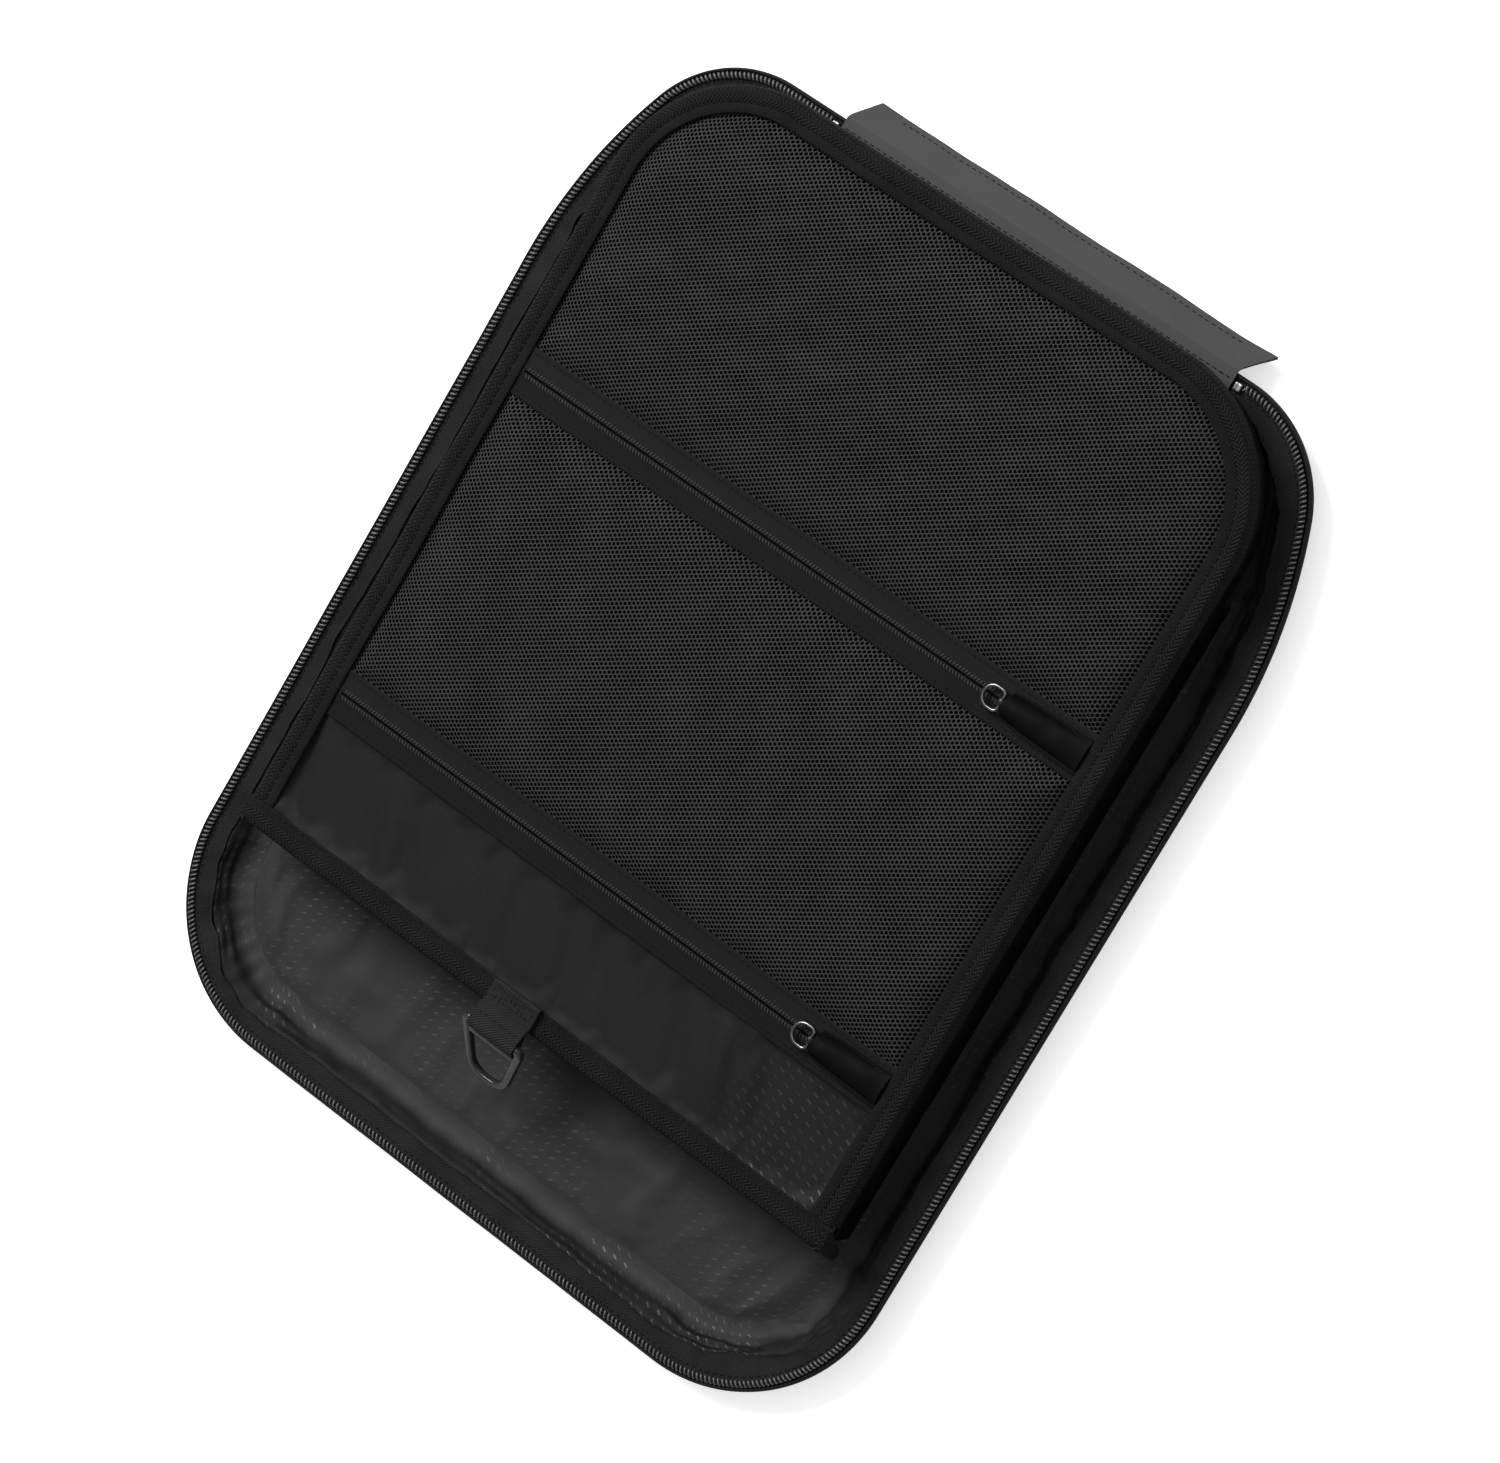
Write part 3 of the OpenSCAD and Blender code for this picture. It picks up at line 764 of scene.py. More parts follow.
def drape(name, grid, pin, grow=0.02, gravity=1.0, frames=20, stiff=8.0, bend=0.4, cap=4.0, floor_z=None, seed=0, push=0.3):
    """Lets a sheet that is a little too big for its sewn edge settle by cloth simulation. Returns the moved grid. Points may move at most cap mm."""
    r, c = grid.shape[:2]
    start = grid.copy()
    n = waves(seed, 18, 60)
    start[..., 2] += n(grid[..., 0], grid[..., 1]) * push * (1 - pin)
    g = Geo()
    idx = np.arange(r * c).reshape(r, c)
    q = np.stack([idx[:-1, :-1], idx[:-1, 1:], idx[1:, 1:], idx[1:, :-1]], -1).reshape(-1, 4)
    g.add(start.reshape(-1, 3) * 10, [q])
    ob = g.mesh("sim_" + name, [], angle=0)
    vg = ob.vertex_groups.new(name="pin")
    flat = pin.ravel()
    for i in range(r * c):
        if flat[i] > 0:
            vg.add([i], float(flat[i]), "REPLACE")
    helper = None
    if floor_z is not None:
        bpy.ops.mesh.primitive_plane_add(size=20, location=(0, 0, floor_z * MM * 10))
        helper = bpy.context.object
        helper.modifiers.new("hit", "COLLISION")
        helper.collision.thickness_outer = 0.004
        helper.hide_render = True
    md = ob.modifiers.new("cloth", "CLOTH")
    st = md.settings
    st.quality = 6
    st.mass = 0.2
    st.tension_stiffness = stiff
    st.compression_stiffness = stiff
    st.shear_stiffness = stiff * 0.5
    st.bending_stiffness = bend
    st.tension_damping = 5
    st.compression_damping = 5
    st.shear_damping = 5
    st.air_damping = 2
    st.vertex_group_mass = "pin"
    st.shrink_min = -grow
    st.shrink_max = -grow
    st.effector_weights.gravity = gravity
    md.collision_settings.use_self_collision = False
    md.collision_settings.distance_min = 0.004
    md.point_cache.frame_start = 1
    md.point_cache.frame_end = frames
    sc = bpy.context.scene
    for f in range(1, frames + 1):
        sc.frame_set(f)
    dg = bpy.context.evaluated_depsgraph_get()
    ev = ob.evaluated_get(dg)
    co = np.zeros(r * c * 3, np.float32)
    ev.data.vertices.foreach_get("co", co)
    co = co.reshape(r, c, 3).astype(float) * 100
    sc.frame_set(1)
    bpy.data.objects.remove(ob)
    if helper:
        bpy.data.objects.remove(helper)
    d = co - grid
    ln = np.linalg.norm(d, axis=-1, keepdims=True)
    d = d * np.minimum(1.0, cap / np.maximum(ln, 1e-9))
    return grid + d * (1 - (pin[..., None] >= 1))


def normals_of(grid):
    du = np.gradient(grid, axis=1)
    dv = np.gradient(grid, axis=0)
    n = np.cross(du, dv)
    return n / np.maximum(np.linalg.norm(n, axis=-1, keepdims=True), 1e-9)


def thicken(grid, t):
    """The grid moved by t along its own normals."""
    return grid + normals_of(grid) * t


def refine(grid, k):
    """The grid with k times the rows and columns, by cubic interpolation."""
    def one(a):
        n = a.shape[0]
        t = np.linspace(0, n - 1, (n - 1) * k + 1)
        i = np.clip(t.astype(int), 0, n - 2)
        f = (t - i).reshape(-1, *([1] * (a.ndim - 1)))
        p0, p1, p2, p3 = a[np.clip(i - 1, 0, n - 1)], a[i], a[i + 1], a[np.clip(i + 2, 0, n - 1)]
        return 0.5 * (2 * p1 + (p2 - p0) * f + (2 * p0 - 5 * p1 + 4 * p2 - p3) * f ** 2 + (3 * p1 - 3 * p2 + p3 - p0) * f ** 3)
    return np.swapaxes(one(np.swapaxes(one(grid), 0, 1)), 0, 1)


# ---- sims first, while the scene is light ---------------------------------

def floor_grid():
    ins = 17.0
    ys = rows(-(HL - ins), HL - ins, 5.0, RF - ins, RH - ins)
    xy = grid_xy(tray_half(ins), ys, 67)
    g = np.concatenate([xy, np.full(xy.shape[:2] + (1,), floor_hi[2])], -1)
    pin = np.zeros(g.shape[:2])
    pin[0], pin[-1], pin[:, 0], pin[:, -1] = 1, 1, 1, 1
    g = drape("floor", g, pin, 0.035, 1.0, 20, 6.0, 0.25, 3.0, floor_hi[2] - 0.3, 3, 0.8)
    g[..., 2] = np.maximum(g[..., 2], floor_hi[2] - 0.1)
    return g


def flap_grid():
    y0, y1 = PY0 + BW - 3.0, LZ - ZHALF + 4.0
    xs = np.linspace(-(PW - BW + 3), PW - BW + 3, 99)
    ys = np.linspace(y0, y1, 17)
    x, y = np.meshgrid(xs, ys)
    g = np.stack([x, y, np.full(x.shape, 38.5)], -1)
    pin = np.zeros(x.shape)
    pin[0], pin[-1], pin[:, 0], pin[:, -1] = 1, 1, 1, 1
    g = drape("flap", g, pin, 0.006, 0.25, 20, 10.0, 2.5, 2.6, None, 11, 0.5)
    g[..., 2] = np.clip(g[..., 2], 37.2, 41.5)
    ends = np.sin(np.pi * (y - y0) / (y1 - y0)) ** 0.6
    f1, f2 = waves(15, 13, 28, 10), waves(16, 60, 150, 8)
    pucker = np.exp(-((y - y0) / 9.0) ** 2) + np.exp(-((y1 - y) / 9.0) ** 2)
    g[..., 2] += ends * (1 - pin) * (1.9 * f1(x + 0.35 * y, y * 0.12) * np.clip(0.5 + 0.6 * f2(x, y), 0.1, 1.2) + 0.15 * pucker * waves(17, 9, 16, 8)(x, y * 0.1))
    return g


FLOOR = floor_grid()
FLAP = flap_grid()


# ---- tray -----------------------------------------------------------------

tray_closed = outline(tray_segs(11, 11), 2.0, True)
LT = tray_closed[3]


def periodic(seed, lo, hi, count=14):
    """Smooth noise of the distance round the tray that joins up with itself."""
    w = waves(seed, lo, hi, count)
    rad = LT / (2 * math.pi)

    def f(s, y=0.0):
        a = np.asarray(s, float) / rad
        return w(rad * np.cos(a), rad * np.sin(a) + np.asarray(y, float))
    return f


def build_shell():
    out = [(46, 0.0), (30, 0.0), (20, 0.0), (17.0, 0.05), (15.2, 0.3), (13.8, 0.85), (12.4, 1.75), (10.4, 3.4), (8.0, 5.6),
           (5.7, 7.9), (3.7, 10.0), (2.2, 11.7), (1.1, 12.8), (0.45, 13.35), (0.12, 13.7), (0.1, 13.9), (0.35, 14.0)]
    inn = [(1.6, 14.0), (2.05, 13.8), (3.4, 12.6), (5.2, 10.9), (7.2, 8.9), (9.5, 6.7), (11.8, 4.7), (13.6, 3.2),
           (15.0, 2.45), (16.8, 2.1), (20, 2.0), (30, 2.0), (46, 2.0)]
    prof = out + inn
    g = sweep(tray_closed, prof, True, False, caps=False)
    n, k = len(tray_closed[0]), len(prof)
    idx = np.arange(n * k).reshape(n, k)
    v = g.v[0]
    g.f += [idx[:, 0][None, ::-1], idx[:, -1][None, :]]
    g.uv += [v[idx[:, 0][None, ::-1]][:, :, :2], v[idx[:, -1][None, :]][:, :, :2]]
    g.m += [np.zeros(1, np.int32)] * 2
    place("back_shell_moulded", g, G["shell"], replaces=["back_shell"], slot="shell", angle=60)


def build_piping():
    zc, h, w, ic = 15.15, 1.03, 0.76, 0.86
    ph = np.arange(12) / 12 * 2 * np.pi
    prof = np.stack([ic + w * np.cos(ph), zc + h * np.sin(ph)], 1)
    nz = periodic(5, 30, 120)
    g = sweep(tray_closed, prof, True, True, disp=lambda s, k: (0.06 * nz(s), 0.05 * nz(s, 50.0)))
    place("rim_piping_cord", g, G["piping"], replaces=["rim_piping"], slot="piping", angle=0)


slack_w = periodic(21, 24, 110)
slack_f = periodic(22, 9, 26)


def corner_share(s):
    """1 in the round corners, 0 on the straight sides."""
    out = np.zeros(np.shape(s))
    p, n, ss, _ = tray_closed
    curved = (np.abs(n[:, 0]) > 0.02) & (np.abs(n[:, 1]) > 0.02)
    return np.interp(s, ss, np.convolve(np.concatenate([curved[-8:], curved, curved[:8]]).astype(float), np.ones(17) / 17, "valid"))


def slack(s):
    """How far the tape's free edge wanders, inwards and up."""
    k = 0.55 + 0.85 * corner_share(s)
    a = (1.5 * slack_w(s) + 0.55 * slack_f(s) - 0.5) * k
    return a, (0.65 * slack_w(s, 70.0) + 0.5 * slack_f(s, 70.0)) * k


GAP0 = X0S
GAP1 = X1S


def open_tray(extra, step=1.6):
    o = outline(tray_segs(GAP0 - extra, GAP1 + extra), step, False)
    shift = 11 - (GAP0 - extra)
    return o, shift


def build_rim_tape():
    o, shift = open_tray(0.2)
    ia, ib, t = 2.35, 12.8, 0.5
    cols = 12
    w = np.linspace(0, 1, cols)
    zc = (tape_lo[2] + tape_hi[2]) / 2
    top = [(ia + (ib - ia) * a, zc + t / 2 + (0.18 if a > 0.93 else 0)) for a in w]
    bot = [(ia + (ib - ia) * a, zc - t / 2) for a in w[::-1]]
    prof = top + bot
    ww = np.concatenate([w, w[::-1]])

    def disp(s, k):
        a, b = slack(s + shift)
        f = ww[k]
        lift = smooth((f - 0.25) / 0.75)
        pleat = slack_f(s + shift, 20.0) * 0.30 * np.sin(np.pi * f)
        return a * lift * 0.9, np.maximum(b * lift + pleat, -0.25 * (1 - lift) - 0.55 * lift)
    g = sweep(o, prof, False, True, disp=disp)
    place("rim_zip_tape_cloth", g, G["rim_tape"], replaces=["rim_zip_tape"], slot="rim_tape", angle=45)
    # a sewing row that holds the tape down; the second row, at 0.47, is skipped
    st = Geo()
    for f in (0.34, 0.47):
        p, n, s, _ = o
        ins = ia + (ib - ia) * f
        a, b = slack(s + shift)
        lift = smooth((f - 0.25) / 0.75)
        pleat = slack_f(s + shift, 20.0) * 0.30 * math.sin(math.pi * f)
        z = zc + t / 2 + np.maximum(b * lift + pleat, -0.25 * (1 - lift) - 0.55 * lift)
        ii = ins + a * lift * 0.9
        pts = np.column_stack([p - n * ii[:, None], z])
        if f > 0.4:
            continue
        stitches(st, pts, (0, 0, 1), 2.3, 3.2, 0.2, lift=0.02)
    place("rim_tape_stitching", st, G["thread"], slot="rim_tape", angle=0, recalc=False)


def helix(o, ci, cz, ai, az, r, pitch, per=12, sides=6, core=True, geo=None, core_m=0):
    """A zip coil: a flattened helix of round wire with a cord through it, along an outline."""
    p, n, s, total = o
    turns = int(total / pitch)
    t = np.arange(turns * per + 1) / per
    ss = t * total / turns
    px = np.stack([np.interp(ss, s, p[:, i]) for i in (0, 1)], -1)
    nx = np.stack([np.interp(ss, s, n[:, i]) for i in (0, 1)], -1)
    nx /= np.linalg.norm(nx, axis=1, keepdims=True)
    ph = t * 2 * np.pi
    ins, z = ci + ai * np.cos(ph), cz + az * np.sin(ph)
    c = np.column_stack([px - nx * ins[:, None], z])
    tan = np.gradient(c, axis=0)
    tan /= np.linalg.norm(tan, axis=1, keepdims=True)
    rad = np.column_stack([-nx * (np.cos(ph) / ai)[:, None], np.sin(ph) / az])
    rad -= tan * (rad * tan).sum(1, keepdims=True)
    rad /= np.linalg.norm(rad, axis=1, keepdims=True)
    b = np.cross(tan, rad)
    geo = tube(c, rad, b, r, sides=sides, geo=geo)
    if core:
        k = np.arange(0, total, 3.0)
        q = np.stack([np.interp(k, s, p[:, i]) for i in (0, 1)], -1)
        m = np.stack([np.interp(k, s, n[:, i]) for i in (0, 1)], -1)
        m /= np.linalg.norm(m, axis=1, keepdims=True)
        cc = np.column_stack([q - m * ci, np.full(len(k), cz)])
        tube(cc, np.column_stack([m, np.zeros(len(k))]), np.broadcast_to([0, 0, 1.0], (len(k), 3)), max(ai - r * 0.6, 0.2), max(az - r * 0.6, 0.15), sides=8, geo=geo, m=core_m)
    return geo


def build_rim_coil():
    o = outline(tray_segs(GAP0 - 5.2, GAP1 + 5.2), 1.0, False)
    g = helix(o, 3.35, 16.66, 1.12, 0.50, 0.43, 2.0, 12, 7, core_m=1)
    place("rim_zip_coil_helix", g, [G["coil"], G["gusset"]], replaces=["rim_zip_coil"], slot="coil", angle=0, recalc=False)


def clip(centre, half, geo, along_x=True):
    """A crimped end stop: a folded clip with a groove across its top."""
    def shape(q):
        t = q[:, 0] / half[0] if along_x else q[:, 1] / half[1]
        dent = 0.22 * half[2] * np.exp(-(t / 0.28) ** 2) * (q[:, 2] > 0)
        q = q.copy()
        q[:, 2] -= dent
        q[:, 1 if along_x else 0] *= 1 - 0.06 * t ** 2
        return q
    return rbox(centre, half, min(half) * 0.45, 10, shape, geo)


def build_rim_stops():
    lo, hi = bx("rim_zip_end_stops")
    g = Geo()
    for x in (lo[0] + 1.6, hi[0] - 1.6):
        clip((x, (lo[1] + hi[1]) / 2, (lo[2] + hi[2]) / 2), (1.6, 1.8, 1.0), g)
    place("rim_zip_stop_clips", g, G["stops"], replaces=["rim_zip_end_stops"], slot="stops", angle=0)


def soft_sheet(name, half_fn, y0, y1, r0, r1, z0, z1, mat, nodes, slot, step=8.0, cols=40, bulge=None, **kw):
    """A flat pad with rounded edges between z0 and z1."""
    ys = rows(y0, y1, step, r0, r1)
    xy = grid_xy(half_fn, ys, cols)
    t = np.linspace(-1, 1, cols)
    ex = np.broadcast_to(1 - np.abs(t) ** 24, xy.shape[:2])
    yy = (np.array(ys) - (y0 + y1) / 2) / ((y1 - y0) / 2)
    ey = np.broadcast_to((1 - np.abs(yy) ** 30)[:, None], xy.shape[:2])
    e = np.sqrt(np.clip(ex * ey, 0, 1))
    mid, ht = (z0 + z1) / 2, (z1 - z0) / 2
    add = 0 if bulge is None else bulge(xy[..., 0], xy[..., 1]) * e
    top = np.concatenate([xy, (mid + ht * (0.25 + 0.75 * e) + add)[..., None]], -1)
    bot = np.concatenate([xy, (mid - ht * (0.25 + 0.75 * e) + add)[..., None]], -1)
    g = slab(top, bot)
    return place(name, g, mat, replaces=nodes, slot=slot, **kw)


def build_floor():
    soft_sheet("back_foam_pad", tray_half(17), -(HL - 17), HL - 17, RF - 17, RH - 17, 2.2, 5.0, G["foam"], ["back_foam"], "foam")
    g = refine(FLOOR, 2)
    # near the walls it stays below the side lining that is sewn over it
    rim = tray_closed[0][::2]
    away = np.array([np.sqrt(((row[:, None, :2] - rim[None]) ** 2).sum(-1)).min(1) for row in g])
    g[..., 2] = np.clip(g[..., 2], 5.45, 5.62 + np.maximum(0, away - 27.6) * 0.4)
    bot = g.copy()
    bot[..., 2] = np.minimum(g[..., 2] - 0.45, 40)
    bot[..., 2] = np.maximum(bot[..., 2], 5.15)
    geo = slab(g, bot)
    place("floor_lining_cloth", geo, G["lining"], replaces=["floor_lining"], slot="lining", angle=60)


def build_side_lining():
    fold = periodic(31, 10, 34, 18)
    fold2 = periodic(32, 26, 90, 14)
    o = tray_closed
    base = [(27.0, 5.82), (24.5, 6.02), (22.5, 6.45), (21.0, 7.1), (19.6, 8.0), (18.3, 9.2), (17.2, 10.5), (16.2, 11.8),
            (15.3, 13.0), (14.5, 14.0), (13.6, 14.6), (12.2, 14.72)]
    base = np.array(base)
    run = np.concatenate([[0], np.cumsum(np.linalg.norm(np.diff(base, axis=0), axis=1))])
    kk = np.linspace(0, run[-1], 27)
    base = np.stack([np.interp(kk, run, base[:, i]) for i in (0, 1)], 1)
    k = len(base)
    tn = np.gradient(base, axis=0)
    nrm = np.stack([tn[:, 1], -tn[:, 0]], 1)
    nrm /= np.linalg.norm(nrm, axis=1, keepdims=True)
    nrm *= np.sign(nrm[:, :1] + 1e-9)
    prof = np.concatenate([base, (base - nrm * 0.45)[::-1]])
    env = np.sin(np.pi * np.linspace(0, 1, k)) ** 0.6
    w = np.linspace(0, 1, k)
    ee, ww, nn = np.concatenate([env, env[::-1]]), np.concatenate([w, w[::-1]]), np.concatenate([nrm, nrm[::-1]])

    def disp(s, kk):
        c = corner_share(s)
        a = (0.4 + 0.9 * c) * fold(s, ww[kk] * 9) + 0.6 * fold2(s, ww[kk] * 14)
        where = 0.66 + 0.07 * fold2(s, 40.0)
        ridge = (0.5 + 0.9 * c) * np.clip(0.55 + 0.7 * fold2(s, 80.0), 0, 1.6)
        a = a + ridge * (np.exp(-((ww[kk] - where) / 0.075) ** 2) - 0.75 * np.exp(-((ww[kk] - where - 0.14) / 0.06) ** 2))
        where2 = where - 0.26
        a = a + 0.9 * c * np.clip(fold2(s, 120.0) + 0.3, 0, 1.5) * np.exp(-((ww[kk] - where2) / 0.09) ** 2)
        a = a * ee[kk]
        da, db = slack(s)
        f = smooth((ww[kk] - 0.6) / 0.4)
        return a * nn[kk, 0] + da * f * 0.9, a * nn[kk, 1] * 0.7 + np.minimum(db, 0.15) * f * 0.8
    g = sweep(o, prof, True, True, disp=disp)
    place("side_lining_cloth", g, G["side_lining"], replaces=["side_lining"], slot="lining", angle=60)


# ---- fabric hinge ---------------------------------------------------------

def build_hinge():
    # seam part, sewn under the panel and to the shell's rim
    xs = np.linspace(X0S, X1S, 60)
    ys = np.linspace(seam_lo[1], seam_hi[1] - 0.1, 14)
    x, y = np.meshgrid(xs, ys)
    nz = waves(41, 18, 60)
    z = 16.8 + 0.10 * nz(x, y) * smooth((seam_hi[1] - y) / 4)
    top, bot = np.stack([x, y, z + 0.36], -1), np.stack([x, y, z - 0.36], -1)
    g = slab(top, bot)
    row = np.column_stack([xs, np.full(60, seam_lo[1] + 6.0), np.full(60, 17.16)])
    stitches(g, row, (0, 0, 1), 2.4, 3.2, 0.22, m=1, lift=0.02)
    place("hinge_strip_seam_cloth", g, [G["hinge_fabric"], G["thread"]], replaces=["hinge_strip_seam"], slot="hinge_fabric")
    # free part, bent down past the rim
    lo, hi = bx("hinge_strip")
    droop = math.atan2(ZSTRIP - lo[2] - 0.4, hi[1] - YSTRIP)
    n = 22
    reach = 15.0
    s = np.linspace(0, reach + 0.6, n)
    bend = 3.0
    yy, zz, ny, nz2 = [], [], [], []
    y0, z0 = seam_hi[1] - 0.12, 16.8
    a, py, pz, prev = 0.0, y0, z0, 0.0
    for t in s:
        a = droop * smooth((t + 0.3) / bend) * (1 + 0.05 * math.sin(t / reach * 3))
        py += math.cos(a) * (t - prev)
        pz -= math.sin(a) * (t - prev)
        prev = t
        yy.append(py)
        zz.append(pz)
        ny.append(math.sin(a))
        nz2.append(math.cos(a))
    yy, zz, ny, nz2 = map(np.array, (yy, zz, ny, nz2))
    m = 70
    f = s / s[-1]
    xl = X0S + 5.0 * f
    xr = X1S + 6.8 * f
    u = np.linspace(0, 1, m)
    x = xl[:, None] + (xr - xl)[:, None] * u[None]
    wob = waves(43, 22, 70)(x, s[:, None] * 1.5) * 0.35 * smooth(s / 6)[:, None]
    hem = 0.16 * smooth((s - (reach - 4.2)) / 0.5)[:, None] + 0.16 * np.maximum(smooth((x - (xr[:, None] - 4)) / 0.5), smooth(((xl[:, None] + 4) - x) / 0.5))
    mid = np.stack([x, yy[:, None] + ny[:, None] * wob, zz[:, None] + nz2[:, None] * wob], -1)
    nn = np.stack([np.zeros_like(x), np.broadcast_to(ny[:, None], x.shape), np.broadcast_to(nz2[:, None], x.shape)], -1)
    half = (0.32 + hem)[..., None]
    uv = np.stack([x, np.broadcast_to(s[:, None], x.shape)], -1).reshape(-1, 2)
    g = slab(mid + nn * half, mid - nn * half, uv=uv)
    for k, side in ((n - 5, 1), (n - 5, -1)):
        row = mid[k, 4:-4] + nn[k, 4:-4] * side * (0.45)
        stitches(g, row, nn[k, 0] * side, 2.4, 3.2, 0.2, m=1, lift=0.03)
    place("hinge_strip_cloth", g, [G["hinge_fabric"], G["thread"]], replaces=["hinge_strip"], slot="hinge_fabric",
          blend=("tray", "strip", (X0S, YSTRIP - 0.4, ZSTRIP), (X0S, YSTRIP + 2.6, ZSTRIP - 1.4)))


# ---- panel layers ---------------------------------------------------------

def build_panel_layers():
    kw = dict(step=9.0, cols=36)
    w1 = waves(51, 40, 160)
    soft_sheet("sleeve_lining_cloth", panel_half(1.9), PY0 + 1.9, PY1 - 1.9, 0, PR - 1.9, 32.5, 33.05, G["lining"], ["sleeve_lining"], "lining", **kw)
    soft_sheet("panel_foam_pad", panel_half(1.7), PY0 + 1.7, PY1 - 1.7, 0, PR - 1.7, 33.2, 34.75, G["foam"], ["panel_pad"], "foam", **kw)
    w2, w3 = waves(52, 16, 60, 20), waves(53, 60, 200)
    soft_sheet("panel_backing_cloth", panel_half(1.9), PY0 + 1.9, PY1 - 1.9, 0, PR - 1.9, 34.95, 35.5, G["backing"], ["panel_backing"], "backing",
               step=3.0, cols=110, bulge=lambda x, y: 0.35 + 0.25 * w2(x, y) + 0.3 * w3(x, y), angle=60)


def build_flap():
    g = refine(FLAP, 3)
    top = thicken(g, 0.25)
    bot = thicken(g, -0.25)
    uv = g[..., :2].reshape(-1, 2)
    geo = slab(top, bot, uv=uv)
    place("sleeve_flap_cloth", geo, G["nylon"], replaces=["sleeve_flap"], slot="nylon", angle=60)


def net_shape(ya, yb, top_corner, seed):
    """Height of a net at x, y: sewn flat at its edge and domed inside the opening."""
    n1, n2 = waves(seed, 30, 110), waves(seed + 1, 14, 34)

    def f(x, y):
        d = np.minimum(PW - 12.1 - np.abs(x), np.minimum(y - ya, yb - y))
        if top_corner:
            r = PR - 12.1
            cx, cy = PW - PR, PY1 - PR
            q = np.hypot(np.maximum(np.abs(x) - cx, 0), np.maximum(y - cy, 0))
            inc = (np.abs(x) > cx) & (y > cy)
            d = np.where(inc, r - q, d)
            d = np.minimum(d, y - ya)
        e = 6.0
        d = np.maximum(d, 0)
        rise = 5.6 * (1 - np.exp(-d / e)) + 0.018 * np.minimum(d, 60)
        k = 1 - np.exp(-d / 12)
        return ZNET + 0.42 + rise + k * (0.45 * n1(x, y) + 0.05 * n2(x, y))
    return f


def net_cells(name, y_lo, y_hi, inset, zf, x_lo, x_hi, body, node, seed):
    """Closed knitted mesh: six-sided eyes between strands with a raised middle."""
    px, hy = 3.1, 1.0
    i = np.arange(int(math.ceil(x_lo / px)) - 1, int(math.floor(x_hi / px)) + 2)
    j = np.arange(int(math.ceil(y_lo / hy)), int(math.floor(y_hi / hy)) + 1)
    ii, jj = np.meshgrid(i, j)
    cx = ii * px + (jj & 1) * px / 2
    cy = jj * hy + 0.0
    half = np.vectorize(panel_half(inset))
    w = half(j * hy)
    ok = (np.abs(cx) < w[:, None]) & (cx >= x_lo) & (cx < x_hi) & (cy <= PY1 - inset)
    a = ((px / 2) ** 2 + hy ** 2) / px
    b = ((px / 2) ** 2 - hy ** 2) / px
    hexx = np.array([a, b, -b, -a, -b, b])
    hexy = np.array([0, hy, hy, 0, -hy, -hy])
    m = ok.ravel()
    ccx, ccy, cj, ci = cx.ravel()[m], cy.ravel()[m], jj.ravel()[m], ii.ravel()[m]
    vx, vy = ccx[:, None] + hexx, ccy[:, None] + hexy
    key = np.round((vx + 1000.00137) * 50).astype(np.int64) * 1000000 + np.round((vy + 1000.00137) * 50).astype(np.int64)
    uniq, first, inv = np.unique(key.ravel(), return_index=True, return_inverse=True)
    inv = inv.reshape(-1, 6)
    rx, ry = vx.ravel()[first], vy.ravel()[first]
    jt = waves(seed, 3.3, 9, 16)
    jx, jy = 0.07 * jt(rx, ry), 0.07 * jt(ry + 300, rx)
    rx2, ry2 = rx + jx, ry + jy
    zr = zf(rx, ry)
    th = 0.19
    nr, nc = len(rx), len(ccx)
    size = 0.66 + 0.05 * waves(seed + 5, 8, 60)(ccx, ccy)
    hx = ccx[:, None] + hexx * (size * 0.98)[:, None]
    hy_ = ccy[:, None] + hexy * (size * np.array([1.0, 0.92, 0.92, 1.0, 0.92, 0.92])[:, None]).T
    hz = zf(hx, hy_)
    v = np.concatenate([np.column_stack([rx2, ry2, zr + th]), np.column_stack([rx2, ry2, zr - th]),
                        np.column_stack([hx.ravel(), hy_.ravel(), hz.ravel()])])
    top, bot = inv, inv + nr
    hol = (2 * nr + np.arange(nc * 6)).reshape(nc, 6)
    nx = lambda q: np.roll(q, -1, 1)
    up = np.stack([top, nx(top), nx(hol), hol], -1).reshape(-1, 4)
    dn = np.stack([bot, hol, nx(hol), nx(bot)], -1).reshape(-1, 4)
    pad = np.pad(ok, 3)
    r0, c0 = cj - j[0] + 3, ci - i[0] + 3
    odd = cj & 1
    walls = []
    nb = [(1, odd), (2, 0 * odd), (1, odd - 1), (-1, odd - 1), (-2, 0 * odd), (-1, odd)]
    for k, (dj, di) in enumerate(nb):
        miss = ~pad[r0 + dj, c0 + di]
        k2 = (k + 1) % 6
        walls.append(np.stack([top[miss, k2], top[miss, k], bot[miss, k], bot[miss, k2]], -1))
    wall = np.concatenate(walls)
    g = Geo()
    g.add(v, [up, dn, wall])
    return place(name, g, G["net"], body, replaces=[node], slot="net", angle=0, recalc=False)


def build_nets():
    up = net_shape(UZ + ZHALF + 0.2, PY1 - 12.1, True, 61)
    lo = net_shape(LZ + ZHALF + 0.2, UZ - ZHALF - 0.2, False, 71)
    for tag, xa, xb in (("left", -200, 0.0), ("right", 0.0, 200)):
        net_cells("upper_net_" + tag, UZ + ZHALF - 3.2, PY1 - 7, 7, up, xa, xb, "tray", "upper_net", 81)
        net_cells("middle_net_" + tag, LZ + ZHALF - 3.2, UZ - ZHALF + 3.2, 7, lo, xa, xb, "tray", "middle_net", 91)


# ---- pocket zips ----------------------------------------------------------

